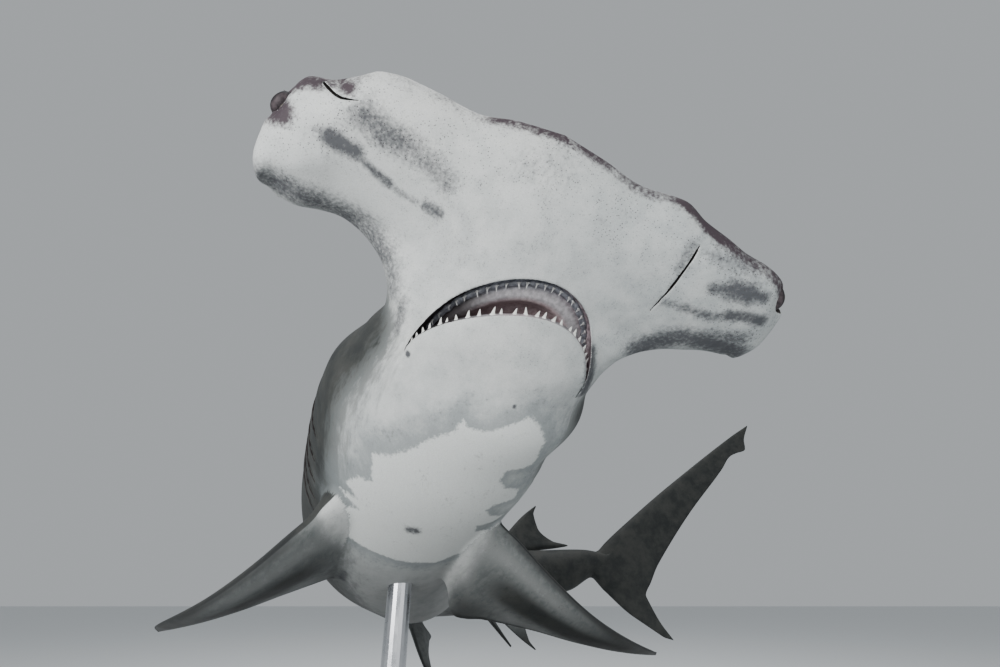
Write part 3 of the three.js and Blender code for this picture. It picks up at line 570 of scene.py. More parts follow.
def mend_marks(mesh, keys):
    """Fills the marks of points that a boolean made from the points around them, and tells which they are."""
    tag = read(mesh, "tag")
    fresh = tag < 0.5
    edges = edges_of(mesh)
    known = (~fresh).astype(float)
    values = {key: read(mesh, key, width) * (known[:, None] if width == 3 else known) for key, width in keys}
    for _ in range(12):
        missing = known < 0.5
        if not missing.any():
            break
        weight = neighbour_mean(edges, known)
        found = missing & (weight > 0)
        for key, width in keys:
            mean = neighbour_mean(edges, values[key])
            share = weight[found][:, None] if width == 3 else weight[found]
            values[key][found] = mean[found] / share
        known[found] = 1
    for key, width in keys:
        write(mesh, key, values[key])
    write(mesh, "tag", np.ones(len(tag)))
    return fresh


def near(points, sources, reach):
    """How near each point is to a set of source points, from 1 on them to 0 at the reach."""
    if len(sources) == 0:
        return np.zeros(len(points))
    low, high = sources.min(0) - reach, sources.max(0) + reach
    inside = np.flatnonzero(np.all((points > low) & (points < high), axis=1))
    tree = kdtree.KDTree(len(sources))
    for i, source in enumerate(sources):
        tree.insert(source, i)
    tree.balance()
    result = np.zeros(len(points))
    for i in inside:
        result[i] = max(0, 1 - tree.find(points[i])[2] / reach)
    return result


def relax(mesh, weight, rounds):
    """Rounds a mesh off where the weight is above 0."""
    edges = edges_of(mesh)
    touched = weight > 0
    keep = touched[edges[:, 0]] | touched[edges[:, 1]]
    edges = edges[keep]
    points = read(mesh, "co", 3).astype(float)
    share = (0.6 * np.clip(weight, 0, 1))[:, None]
    for _ in range(rounds):
        points = np.where(touched[:, None], points + share * (neighbour_mean(edges, points) - points), points)
    write(mesh, "co", points)


KEYS = (("rest", 3), ("place", 3), ("fin", 1), ("inner", 1))
# Cut faces of the mouth get the lining of the mouth; cut faces of the nostrils, gill slits and eye sockets
# are painted near black, painted shade in those hollows.
MOUTH, SLIT = 1, -1
EDGE = 0.5


# Cutters
def slab(name, sections, inner):
    """A closed cutter lofted over sections of straight-body points, bent into the pose."""
    grid = np.array(sections)
    marks = dict(rest=grid * LENGTH, place=np.zeros(grid.shape), fin=np.zeros(grid.shape[:2]),
                 inner=np.full(grid.shape[:2], inner), tag=np.ones(grid.shape[:2]))
    return loft(name, bend(grid), marks)


def densify(points, step):
    """More points on the straight stretches of a closed outline."""
    dense = []
    for start, end in zip(points, points[1:] + points[:1]):
        start, end = np.array(start, float), np.array(end, float)
        count = max(1, int(np.ceil(np.linalg.norm(end - start) / step)))
        dense += [start + (end - start) * i / count for i in range(count)]
    return dense


MOUTH_RIGHT, MOUTH_LEFT = -0.86, 0.89
MOUTH_BACK = 0.112
MOUTH_DEEP = -0.085
ROOF = profile((0, 0.0022), (0.0012, 0.0048), (0.0035, 0.0056), (0.0065, 0.0048), (0.0095, 0.0030),
               (0.0120, 0.0036), (0.0150, 0.0080), (0.0200, 0.0140), (0.0300, 0.0175), (0.0500, 0.0180))
FLOOR_DROP = profile((0, 0.0030), (0.002, 0.0034), (0.006, 0.0030), (0.010, 0.0060), (0.02, 0.0085),
                     (0.05, 0.0100))


def mouth_offset(a, b):
    """How far a place lies inside the arch of the upper lip."""
    corner = LIP["front"] + LIP["depth"]
    across = np.clip((b - LIP["centre"]) / LIP["half"], -1, 1)
    skew = LIP["skew"] * np.sin(across * np.pi / 2)
    radius = np.sqrt(across ** 2 + (np.clip(corner - a - skew, 0, None) / LIP["depth"]) ** 2)
    return (1 - radius) * 0.5 * (LIP["half"] + LIP["depth"])


def under_closed(a, b):
    """The height of the underside if the jaw were closed."""
    station = station_of(a, b)
    across = np.clip((b - sway(station)) / half_width(station), -1, 1)
    roundness = np.sqrt(1 - np.abs(across) ** boxiness(station))
    return under(a, b) + jaw_drop(a, b) * roundness


def mouth_cutter():
    sections = []
    for turn in np.linspace(MOUTH_RIGHT, MOUTH_LEFT, 150):
        b = LIP["centre"] + LIP["half"] * math.sin(turn * math.pi / 2)
        upper, lower = float(lip_arch(LIP["front"], b)), float(lip_arch(JAW["front"], b))
        lip = float(under_closed(np.array(upper), np.array(b)))
        back = np.linspace(0, 1, 46)
        a_roof = upper + (MOUTH_BACK - upper) * back ** 1.6
        offset = np.clip(mouth_offset(a_roof, np.full(46, b)), 0, None)
        taper = min(1, 6 * min(turn - MOUTH_RIGHT, MOUTH_LEFT - turn) + 0.25)
        roof = lip + ROOF(offset) * taper
        roof[0] = lip + ROOF(0) * taper
        a_floor = lower + (MOUTH_BACK - lower) * back ** 1.6
        rim = float(under(np.array(lower), np.array(b)))
        floor = under(a_floor, np.full(46, b)) + np.minimum(FLOOR_DROP(a_floor - lower), 0.02)
        floor = np.minimum(floor, roof - 0.0012)
        wall = [(upper, b, c) for c in np.linspace(MOUTH_DEEP, roof[0], 24)[:-1]]
        over = [(a, b, c) for a, c in zip(a_roof, roof)]
        back_wall = [(MOUTH_BACK, b, c) for c in np.linspace(roof[-1], floor[-1], 8)[1:-1]]
        beneath = [(a, b, c) for a, c in zip(a_floor[::-1], floor[::-1])]
        front = [(lower, b, c) for c in np.linspace(floor[0], MOUTH_DEEP, 24)[1:]]
        sections.append(wall + over + back_wall + beneath + front)
    return slab("cut_mouth", sections, MOUTH)


# Each nostril is a slit through places (a, b), with how far it opens there
NOSTRILS = (
    ((0.0185, 0.0741, 0.0003), (0.0230, 0.0739, 0.0006), (0.0380, 0.0729, 0.0005), (0.0553, 0.0702, 0.0001)),
    ((0.0176, -0.1050, 0.0003), (0.0186, -0.1010, 0.0005), (0.0197, -0.0940, 0.0005),
     (0.0180, -0.0860, 0.0001)),
)
SLIT_DEPTH = 0.0045
SLIT_OPEN = -0.012


def slit_cutter(name, places):
    """A curved slit in the underside of the head."""
    a, b, half = np.array(places).T
    knots = np.linspace(0, 1, len(places))
    share = np.linspace(0, 1, 70)
    path = np.stack((profile(*zip(knots, a))(share), profile(*zip(knots, b))(share)), -1)
    half = profile(*zip(knots, half))(share)
    along = np.gradient(path, axis=0)
    across = np.stack((-along[:, 1], along[:, 0]), -1) / np.linalg.norm(along, axis=1)[:, None]
    sections = []
    for (at, beside), side, h, t in zip(path, across, half, share):
        base = float(under(np.array(at), np.array(beside)))
        roof = base + SLIT_DEPTH * math.sin(math.pi * min(0.15 + t * 0.8, 0.95))
        ring = densify([(-1.3 * h, base + SLIT_OPEN), (1.3 * h, base + SLIT_OPEN), (0.8 * h, roof),
                        (-0.8 * h, roof)], 0.0012)
        sections.append([(at + side[0] * x, beside + side[1] * x, c) for x, c in ring])
    return slab(name, same_length(sections), SLIT)


def same_length(sections):
    """Sections brought to one number of points."""
    count = max(len(section) for section in sections)
    made = []
    for section in sections:
        ring = np.array(section + section[:1], float)
        run = np.concatenate(([0], np.cumsum(np.linalg.norm(np.diff(ring, axis=0), axis=1))))
        at = np.linspace(0, run[-1], count, endpoint=False)
        made.append(np.stack([np.interp(at, run, ring[:, k]) for k in range(3)], -1))
    return made


def gill_cutter(number, side):
    sections = []
    for share in np.linspace(0, 1, 50):
        angle = math.radians(GILLS["low"] + (GILLS["high"] - GILLS["low"]) * share)
        station = GILLS["first"] + GILLS["pitch"] * number + GILLS["lean"] * math.sin(share * math.pi)
        taper = math.sin(math.pi * (0.06 + 0.88 * share))
        angle = angle if side > 0 else math.pi - angle
        point = skin(np.array(station), np.array(math.cos(angle)), np.array(math.sin(angle) >= 0))
        ring = densify([(1.05, -0.0009), (1.05, 0.0009), (1 - 0.06 * taper, 0.0016),
                        (1 - 0.07 * taper, 0.0010)], 0.012)
        middle = float(sway(station))
        sections.append([(station + offset, middle + (point[1] - middle) * reach, point[2] * reach)
                         for reach, offset in ring])
    return slab("cut_gill", same_length(sections), SLIT)


SOCKET_REACH = 2.5


def socket_cutter(side):
    """A ball round the eye, drawn out aside so that it leaves no skin in front of the eye."""
    centre = eye_place(side)
    radius = EYE["radius"] + EYE["gap"]
    rows = []
    for polar in np.linspace(0.04, math.pi - 0.04, 30):
        turn = np.arange(48) / 48 * 2 * math.pi
        aside = math.sin(polar) * np.cos(turn)
        aside = np.where(aside * side > 0, SOCKET_REACH * aside, aside)
        ring = np.stack((np.full(48, math.cos(polar)), aside, math.sin(polar) * np.sin(turn)), -1)
        rows.append(centre + radius * ring)
    return slab("cut_eye", rows, SLIT)


def shark_skin():
    station, angle, points = body_skin()
    shape = station.shape
    marks = dict(rest=points * LENGTH, place=np.zeros(points.shape), fin=np.zeros(shape),
                 inner=np.zeros(shape), tag=np.ones(shape))
    body = loft("shark_skin", bend(points), marks, folded_start=True)
    made = fins()
    for fin in made:
        fin.data.attributes.new("inner", "FLOAT", "POINT")
    combine(body, made, "UNION")
    fresh = mend_marks(body.data, KEYS)
    places = read(body.data, "co", 3)
    relax(body.data, near(places, places[fresh], 0.045) ** 0.7, 30)
    cutters = [mouth_cutter()]
    cutters += [slit_cutter("cut_nostril", places) for places in NOSTRILS]
    cutters += [gill_cutter(number, side) for number in range(GILLS["count"]) for side in (1, -1)]
    cutters += [socket_cutter(side) for side in (1, -1)]
    combine(body, cutters, "DIFFERENCE")
    fresh = mend_marks(body.data, KEYS)
    inner = read(body.data, "inner")
    write(body.data, "inner", np.where(fresh, EDGE * np.sign(inner), inner))
    places = read(body.data, "co", 3)
    relax(body.data, near(places, places[fresh], 0.006), 3)
    weld(body, 0.0002)
    return body


# Materials
class Shader:
    """Adds nodes to a material and joins them."""

    def __init__(self, name, **constants):
        self.material = bpy.data.materials.new(name)
        self.material.use_nodes = True
        self.tree = self.material.node_tree
        self.surface = self.tree.nodes["Principled BSDF"]
        for key, value in constants.items():
            self.surface.inputs[key.replace("_", " ")].default_value = value

    def node(self, kind, inputs=(), output=0, **settings):
        node = self.tree.nodes.new("ShaderNode" + kind)
        for key, value in settings.items():
            setattr(node, key, value)
        for key, value in dict(inputs).items():
            self.feed(node.inputs[key], value)
        return node.outputs[output]

    def feed(self, socket, value):
        if isinstance(value, bpy.types.NodeSocket):
            self.tree.links.new(value, socket)
        else:
            socket.default_value = value

    def mark(self, name, output="Fac"):
        return self.node("Attribute", attribute_name=name, output=output)

    def math(self, operation, first, second=0.0, third=0.0, clamp=False):
        return self.node("Math", {0: first, 1: second, 2: third}, operation=operation, use_clamp=clamp)

    def between(self, value, low, high, to_low=0.0, to_high=1.0):
        """0 to 1 as the value goes from low to high, softly."""
        return self.node("MapRange", {"Value": value, "From Min": low, "From Max": high, "To Min": to_low,
                                      "To Max": to_high}, interpolation_type="SMOOTHSTEP")

    def noise(self, place, scale, detail=3.0, roughness=0.55):
        return self.node("TexNoise", {"Vector": place, "Scale": scale, "Detail": detail,
                                      "Roughness": roughness})

    def cells(self, place, scale):
        return self.node("TexVoronoi", {"Vector": place, "Scale": scale}, output="Distance")

    def stretch(self, place, scale):
        return self.node("Mapping", {"Vector": place, "Scale": scale})

    def mix(self, share, first, second):
        node = self.tree.nodes.new("ShaderNodeMix")
        node.data_type = "RGBA"
        self.feed(node.inputs[0], share)
        for socket, value in ((node.inputs[6], first), (node.inputs[7], second)):
            self.feed(socket, (*value, 1) if isinstance(value, tuple) else value)
        return node.outputs[2]

    def bump(self, height, strength, distance, normal=None):
        inputs = {"Height": height, "Strength": strength, "Distance": distance}
        if normal:
            inputs["Normal"] = normal
        return self.node("Bump", inputs)

    def finish(self, colour=None, roughness=None, normal=None):
        for key, value in (("Base Color", colour), ("Roughness", roughness), ("Normal", normal)):
            if value is not None:
                self.feed(self.surface.inputs[key], value)
        return self.material


# Colours of the skin, with some painted shade among them. A pair is mixed by the mottling.
PALE = (0.55, 0.565, 0.555), (0.64, 0.645, 0.625)
PALE_MOTTLE = (0.34, 0.36, 0.36)
DARK = (0.022, 0.025, 0.025), (0.050, 0.052, 0.048)
MIDDLE = (0.095, 0.105, 0.105), (0.190, 0.200, 0.195)
# The grey that the shade mark mixes in: partly the skin's own mottled grey, partly painted shade across the
# underside.
SIDE_SHADE_GREY = (0.27, 0.30, 0.305)
PATCH_BORDER, PATCH_WHITE = (0.20, 0.225, 0.23), (0.66, 0.68, 0.66)
# The colour of the streaks also serves the painted shade in furrows and pits.
STREAK_AND_CREASE_SHADE, PURPLE_MARK, PORE = (0.040, 0.042, 0.050), (0.036, 0.022, 0.030), (0.06, 0.055, 0.06)
# The last of these is painted shade: the near black of the cut walls of the nostrils, gill slits and eye
# sockets.
FIN_EDGE, SPECK, SLIT_SHADE_BLACK = (0.018, 0.019, 0.020), (0.07, 0.07, 0.07), (0.02, 0.016, 0.016)


def skin_material():
    s = Shader("skin", Specular_IOR_Level=0.16)
    rest = s.mark("rest", "Vector")
    lengthwise = s.stretch(rest, (1.0, 3.0, 3.0))
    broad = s.noise(rest, 3.0, 4.0)
    mottle = s.noise(rest, 20.0, 5.0, 0.65)
    streaky = s.noise(lengthwise, 24.0, 5.0, 0.65)
    grain = s.noise(rest, 170.0, 3.0, 0.6)
    fine = s.noise(rest, 620.0, 2.0, 0.6)

    def ragged(mark, by_mottle, by_grain):
        value = s.math("MULTIPLY_ADD", s.math("SUBTRACT", mottle, 0.5), by_mottle, s.mark(mark))
        return s.math("MULTIPLY_ADD", s.math("SUBTRACT", grain, 0.5), by_grain, value)

    pale = s.mix(s.between(broad, 0.35, 0.65), *PALE)
    pale = s.mix(s.between(mottle, 0.40, 0.75, 0.0, 0.35), pale, PALE_MOTTLE)
    dark = s.mix(s.between(mottle, 0.3, 0.7), *DARK)
    middle = s.mix(s.between(streaky, 0.3, 0.7), *MIDDLE)
    unrest = s.math("MULTIPLY_ADD", s.mark("finned"), -0.55, 0.9)
    # Darkness of the back and of the rear of the body, partly painted shade, roughened by the streaky
    # mottling.
    amount = s.math("MULTIPLY_ADD", s.math("SUBTRACT", streaky, 0.5), unrest, s.mark("dorsal"))
    # The belly behind the chest is greyer: partly its own grey, partly painted shade where less light reaches
    # it.
    colour = s.mix(s.math("MULTIPLY", s.mark("belly"), 0.36), pale, middle)
    # Painted shade over some grey of the skin: the underside greys towards the shark's left.
    shade = s.math("MULTIPLY", s.mark("shade"), s.between(mottle, 0.30, 0.62, 0.45, 0.85), clamp=True)
    colour = s.mix(shade, colour, SIDE_SHADE_GREY)
    colour = s.mix(s.between(amount, 0.10, 0.55), colour, middle)
    colour = s.mix(s.between(amount, 0.50, 0.95), colour, dark)
    colour = s.mix(s.between(ragged("patch", 1.6, 0.6), -1.5, -0.15, 0.0, 0.65), colour, PATCH_BORDER)
    colour = s.mix(s.between(ragged("patch", 0.5, 0.5), -0.10, 0.10), colour, PATCH_WHITE)
    # Streaks of the skin, and painted shade in furrows and pits.
    streak = s.between(ragged("streak", 0.5, 0.9), 0.10, 0.95, 0.0, 0.92)
    colour = s.mix(streak, colour, STREAK_AND_CREASE_SHADE)
    purple = s.between(ragged("purple", 1.1, 1.1), 0.10, 0.85, 0.0, 0.97)
    colour = s.mix(purple, colour, PURPLE_MARK)
    pores = s.between(s.cells(rest, 210.0), 0.12, 0.28, 0.85, 0.0)
    pores = s.math("MULTIPLY", pores, s.between(mottle, 0.38, 0.60, 0.35, 1.0))
    colour = s.mix(s.math("MULTIPLY", pores, s.mark("pores")), colour, PORE)
    colour = s.mix(s.math("MULTIPLY", s.mark("edge"), 0.7), colour, FIN_EDGE)
    speck = s.between(fine, 0.3, 0.7, 0.0, 0.16)
    colour = s.mix(speck, colour, SPECK)
    colour = s.mix(s.between(s.mark("mouth"), 0.46, 0.54), colour, mouth_colour(s, rest))
    # Painted shade: the cut walls of the nostrils, gill slits and eye sockets go near black.
    colour = s.mix(s.between(s.mark("slit"), 0.48, 0.60), colour, SLIT_SHADE_BLACK)
    roughness = s.between(mottle, 0.3, 0.7, 0.50, 0.64)
    bump = s.bump(fine, 0.15, 0.0006)
    bump = s.bump(grain, 0.25, 0.0012, bump)
    bump = s.bump(mottle, 0.2, 0.004, bump)
    return s.finish(colour, roughness, bump)


def mouth_colour(s, rest):
    """The lining of the mouth: a dark band inside the lip, which is painted shadow under the upper lip and
    turns to pinkish flesh towards the shark's left, a pale ridge behind it and a mauve palate, and painted
    shade near black over the shark's right side of the mouth.
    """
    inset = s.mark("inset")
    ripple = s.noise(s.stretch(rest, (1.0, 1.0, 0.5)), 130.0, 4.0)
    # Painted shadow under the upper lip: a dark blue-grey band, which turns to the lining's pinkish flesh
    # towards the shark's left.
    band = s.mix(s.between(ripple, 0.35, 0.65), (0.045, 0.047, 0.060), (0.16, 0.17, 0.20))
    flesh = s.mix(s.between(ripple, 0.35, 0.65), (0.12, 0.09, 0.10), (0.29, 0.23, 0.245))
    band = s.mix(s.between(s.mark("aside"), 1.5, 4.2, 0.0, 0.85), band, flesh)
    palate = s.mix(s.between(ripple, 0.3, 0.7), (0.30, 0.225, 0.235), (0.46, 0.37, 0.38))
    ridge = s.mix(s.between(ripple, 0.3, 0.7), (0.22, 0.21, 0.22), (0.35, 0.335, 0.345))
    colour = s.mix(s.between(inset, 0.42, 0.75), band, ridge)
    colour = s.mix(s.between(inset, 0.95, 1.25), colour, palate)
    # Painted shade: the lining goes near black over the shark's right side, where the mouth is deep.
    dark = s.math("MULTIPLY", s.between(s.mark("aside"), 0.2, -1.6), 0.92)
    return s.mix(dark, colour, (0.016, 0.011, 0.012))


# Markings of the underside of the head, with a few lines and dots of painted shade in its furrows, a pit,
# beside a nostril and, on the body, under a pectoral fin: how broad and how dark each is, and the places (a,
# b) on its way
STREAKS_AND_CREASE_SHADE = (
    (0.0018, 0.45, (0.0345, -0.0990), (0.0352, -0.0945)),
    (0.0042, 0.95, (0.0356, -0.0925), (0.0367, -0.0870), (0.0377, -0.0815)),
    (0.0022, 0.75, (0.0395, -0.0790), (0.0437, -0.0717)),
    (0.0026, 0.80, (0.0437, -0.0717), (0.0465, -0.0653)),
    (0.0020, 0.55, (0.0465, -0.0653), (0.0488, -0.0597), (0.0500, -0.0520)),
    (0.0032, 0.75, (0.0500, -0.0460), (0.0506, -0.0400)),
    (0.0078, 0.72, (0.0223, -0.0814), (0.0251, -0.0743), (0.0269, -0.0653)),
    (0.0068, 0.62, (0.0269, -0.0653), (0.0311, -0.0529), (0.0360, -0.0410)),
    (0.0085, 0.78, (0.0640, -0.1178), (0.0650, -0.1104), (0.0665, -0.1010), (0.0672, -0.0929),
     (0.0722, -0.0839)),
    (0.0108, 0.72, (0.0712, -0.0839), (0.0745, -0.0758), (0.0785, -0.0680), (0.0825, -0.0610)),
    (0.0085, 0.58, (0.0825, -0.0610), (0.0875, -0.0545), (0.0930, -0.0500)),
    (0.0036, 0.80, (0.0325, 0.0890), (0.0305, 0.0950)),
    (0.0060, 0.92, (0.0298, 0.0970), (0.0288, 0.1040)),
    (0.0034, 0.85, (0.0288, 0.1040), (0.0276, 0.1110)),
    (0.0022, 0.55, (0.0485, 0.0730), (0.0470, 0.0820)),
    (0.0030, 0.70, (0.0470, 0.0820), (0.0457, 0.0959), (0.0415, 0.1030)),
    (0.0036, 0.95, (0.0415, 0.1030), (0.0390, 0.1100), (0.0383, 0.1170)),
    (0.0060, 0.42, (0.0188, 0.0825), (0.0188, 0.0918), (0.0184, 0.1003)),
    (0.0075, 0.90, (0.0776, 0.0765), (0.0715, 0.0833), (0.0630, 0.0912), (0.0600, 0.1030), (0.0605, 0.1200)),
    (0.0060, 0.65, (0.0570, 0.1030), (0.0520, 0.1150)),
    # Painted shadow beside the inner side of the left nostril.
    (0.0034, 0.55, (0.0195, 0.0712), (0.0300, 0.0708)),
    (0.0110, 0.28, (0.0180, -0.0111), (0.0129, 0.0042)),
    # Painted shade along the furrow by the right corner of the mouth, and the dark dot after it in the pit at
    # that corner.
    (0.0034, 0.60, (0.0940, -0.0408), (0.1000, -0.0392), (0.1071, -0.0390)),
    (0.0013, 1.30, (0.1095, -0.0280), (0.1098, -0.0276)),
    (0.0010, 1.30, (0.1117, 0.0276), (0.1118, 0.0276)),
    (0.0030, 0.85, (0.1985, -0.0150), (0.1985, -0.0110)),
    # Painted shade along the labial furrow by the left corner of the mouth.
    (0.0028, 0.90, (0.0823, 0.0521), (0.0896, 0.0555), (0.0970, 0.0580), (0.1040, 0.0584)),
    # On the body, not the head: painted shade along the crease under the free rear tip of the right pectoral
    # fin.
    (0.0024, 0.70, (0.2790, -0.0500), (0.2880, -0.0520), (0.3000, -0.0540)),
)
PURPLE = (
    (0.0034, 0.95, (0.0256, -0.1185), (0.0205, -0.1123), (0.0172, -0.1060)),
    (0.0026, 0.75, (0.0152, -0.1006), (0.0157, -0.0915)),
    (0.0055, 1.00, (0.0358, -0.1210), (0.0338, -0.1140)),
    (0.0022, 1.00, (0.0052, 0.0594), (0.0072, 0.0674), (0.0105, 0.0753), (0.0130, 0.0830)),
)
# How dark the front rim of the head is along b
RIM_SHADE = profile(
    (-0.124, 0.9), (-0.104, 0.80), (-0.094, 0.40), (-0.070, 0.20), (-0.042, 0.30), (-0.030, 0.75),
    (0.015, 0.75), (0.030, 0.55), (0.052, 0.60), (0.062, 0.85), (0.085, 0.80), (0.095, 0.60), (0.122, 0.75))

# Outline (a, b) of the white patch on the chest
CHEST_PATCH = (
    (0.1866, -0.0512), (0.1775, -0.0430), (0.1750, -0.0345), (0.1708, -0.0350), (0.1610, -0.0345),
    (0.1560, -0.0230), (0.1470, -0.0120), (0.1400, -0.0048), (0.1350, 0.0010), (0.1310, 0.0060),
    (0.1248, 0.0081), (0.1275, 0.0115), (0.1267, 0.0172), (0.1235, 0.0252), (0.1152, 0.0369),
    (0.1215, 0.0445), (0.1284, 0.0497), (0.1480, 0.0491), (0.1500, 0.0420), (0.1500, 0.0350),
    (0.1572, 0.0330), (0.1640, 0.0375), (0.1700, 0.0470), (0.1790, 0.0460), (0.1765, 0.0350),
    (0.1800, 0.0290), (0.1880, 0.0330), (0.1960, 0.0440), (0.1985, 0.0380), (0.1960, 0.0250),
    (0.2040, 0.0255), (0.2104, 0.0400), (0.2150, 0.0330), (0.2150, 0.0270), (0.2237, 0.0340),
    (0.2293, 0.0200), (0.2347, 0.0034), (0.2298, -0.0192), (0.2270, -0.0342), (0.2244, -0.0504),
    (0.2103, -0.0581), (0.2080, -0.0540), (0.1989, -0.0500), (0.1974, -0.0440), (0.1950, -0.0500),
    (0.1925, -0.0540), (0.1910, -0.0440), (0.1880, -0.0466),
)


def spread(a, b, table):
    """The darkest of some soft-edged streaks at each place."""
    value = np.zeros(len(a))
    for breadth, share, *places in table:
        for start, end in zip(places, places[1:]):
            distance = segment_distance(a, b, start, end)
            value = np.maximum(value, share * (1 - ramp(distance, 0.1 * breadth, 1.8 * breadth)))
    return value


def inside_outline(a, b, outline):
    """Distance of places inside an outline, negative outside, in hundredths of the length."""
    corners = np.array(outline)
    distance = np.full(len(a), 1.0)
    inside = np.zeros(len(a), bool)
    for start, end in zip(corners, np.roll(corners, -1, 0)):
        distance = np.minimum(distance, segment_distance(a, b, start, end))
        crosses = (start[1] > b) != (end[1] > b)
        with np.errstate(divide="ignore", invalid="ignore"):
            at = start[0] + (b - start[1]) * (end[0] - start[0]) / (end[1] - start[1])
        inside ^= crosses & (a < at)
    return 100 * np.where(inside, distance, -distance)


def fin_shade(fin, u, t, side):
    """How dark the fins are, from 0 to 1: their undersides are mottled, with dark bands, edges and tips."""
    band = (1 - ramp(np.abs(u - 0.30 - 0.45 * t), 0.02 + 0.10 * t, 0.20 + 0.35 * t)) * ramp(t, 0.02, 0.30)
    rear = ramp(u, 0.88, 0.97) * ramp(t, 0.03, 0.2)
    lobe = ramp(u, 0.40, 0.80) * (1 - ramp(t, 0.12, 0.30))
    tip = ramp(t, 0.40, 0.90)
    underside = (0.44 + 0.55 * tip + 0.50 * band * (1 - 0.6 * tip) + 0.5 * rear + 0.30 * lobe
                 + 0.15 * hill(u, 0.06))
    pectoral = np.where(side > 0, 1.0, np.clip(underside, 0, 1) * ramp(t, -0.05, 0.10))
    lower = 0.55 + 0.4 * np.maximum(ramp(t, 0.4, 0.9), rear)
    return np.select([fin == PECTORAL, fin == LOWER_FIN, fin > 0.5], [pectoral, lower, np.ones(len(u))], 0)


def paint(body):
    """Works out where each marking of the skin lies and keeps it as marks on the points."""
    mesh = body.data
    rest = read(mesh, "rest", 3).astype(float) / LENGTH
    u, t, side = read(mesh, "place", 3).T
    fin = np.round(read(mesh, "fin"))
    inner = read(mesh, "inner")
    a, b, c = rest.T
    station = station_of(a, b)
    width = half_width(station)
    depth = np.where(c > 0, top_height(station), belly_depth(station))
    height = np.sin(np.arctan2(c / depth, (b - sway(station)) / width))
    lift = wing_shift(a, b, station)[2]
    head = 1 - ramp(station, 0.085, 0.125)
    below = np.where(head > 0, c < lift + 0.002, c < 0)
    flank = np.where(b < 0, ramp(height, -0.98, -0.42), ramp(height, -0.76, -0.18))
    blade = ramp(c - lift, -0.0005, 0.0035)
    dorsal = flank * (1 - head) + blade * head
    # The rear of the body darkens all round towards the tail, its underside too: partly its own dark grey,
    # partly painted shade where the light falls off.
    dorsal = np.maximum(dorsal, ramp(a, 0.40, 0.56))
    # Painted shade over some grey of the skin: the underside of the head and chest darkens towards the
    # shark's left, and the right wing of the hammer stays pale, the way the light falls across it.
    shade = 0.42 + 0.38 * ramp(b, -0.01, 0.09) - 0.42 * ramp(-b, 0.02, 0.08) * head
    dorsal = np.where(fin > 0.5, np.maximum(fin_shade(fin, u, t, side), 0), dorsal)
    rim = RIM_SHADE(b) * (1 - ramp(station, 0.0008, 0.0056)) * head
    streak = spread(a, b, STREAKS_AND_CREASE_SHADE)
    pores = np.maximum(0.45 * head, head * (1 - ramp(station, 0.02, 0.05)) + streak)
    on_body = (fin < 0.5) & below & (np.abs(inner) < 0.5)
    marks = {
        "dorsal": dorsal,
        "shade": np.where(on_body, shade * (1 - ramp(a, 0.22, 0.26)), 0),
        # Greyer belly: partly its own grey, partly painted shade where less light reaches it.
        "belly": ramp(a, 0.215, 0.250) * (fin < 0.5),
        "finned": (fin > 0.5) * 1.0,
        "patch": np.where(on_body, inside_outline(a, b, CHEST_PATCH), -5.0),
        "streak": np.where(on_body, streak, 0),
        "purple": np.where(on_body, np.maximum(spread(a, b, PURPLE), rim), 0),
        "pores": np.where(on_body, pores, 0),
        "edge": np.where(fin > 0.5, np.maximum(hill(u, 0.02), hill(1 - u, 0.03)) * ramp(t, 0.05, 0.2), 0),
        "mouth": np.clip(inner, 0, 1),
        "inset": np.where(inner > 0.2, 100 * mouth_offset(a, b), 0),
        "aside": 100 * b,
        # Painted shade in the nostrils, gill slits and eye sockets.
        "slit": np.clip(-inner, 0, 1),
    }
    for key, values in marks.items():
        mesh.attributes.new(key, "FLOAT", "POINT")
        write(mesh, key, values)
    for key in ("tag", "place", "fin", "inner"):
        mesh.attributes.remove(mesh.attributes[key])


def grained(name, dark, pale, scale, detail, roughness, strength, distance, **constants):
    """A material that goes from dark to pale with an even grain."""
    s = Shader(name, **constants)
    grain = s.noise(s.node("TexCoord", output="Object"), scale, detail)
    return s.finish(s.mix(s.between(grain, 0.3, 0.7), dark, pale), s.between(grain, 0.3, 0.7, *roughness),
                    s.bump(grain, strength, distance))


def dress_stand():
    base = grained("stand_base_paint", (0.045, 0.047, 0.050), (0.060, 0.062, 0.066), 60.0, 4.0, (0.45, 0.55),
                   0.1, 0.001)
    steel = grained("stand_rod_steel", (0.50, 0.51, 0.53), (0.60, 0.61, 0.63), 25.0, 4.0, (0.25, 0.35),
                    0.1, 0.001, Metallic=1.0)
    for node, material in (("stand_base", base), ("stand_rod_front", steel), ("stand_rod_rear", steel)):
        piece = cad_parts[node]
        piece.data.materials.clear()
        piece.data.materials.append(material)


def arch_place(turn, front):
    """A place (a, b) on the arch of a lip, and the direction along the arch there."""
    def at(angle):
        b = LIP["centre"] + LIP["half"] * math.sin(angle)
        return np.array((float(lip_arch(front, b)), b))
    step = at(turn + 0.01) - at(turn - 0.01)
    return at(turn), step / np.linalg.norm(step)


def arch_root(turn, front, setback):
    """A place (a, b) set back from the arch of a lip, with the directions along the arch and inward."""
    (a, b), along = arch_place(turn, front)
    inward = np.array((along[1], -along[0]))
    return a + inward[0] * setback, b + inward[1] * setback, along, inward


ARCH_END = 1.36
# The ridge of a gum: its rows, points round it, ends of the arch, how it thins out there, and its lumps
GUM = dict(rows=220, around=16, start=-1.32, end=ARCH_END, thinning=1.40, lumps=0.10, flatness=0.9,
           rise=0.0012)


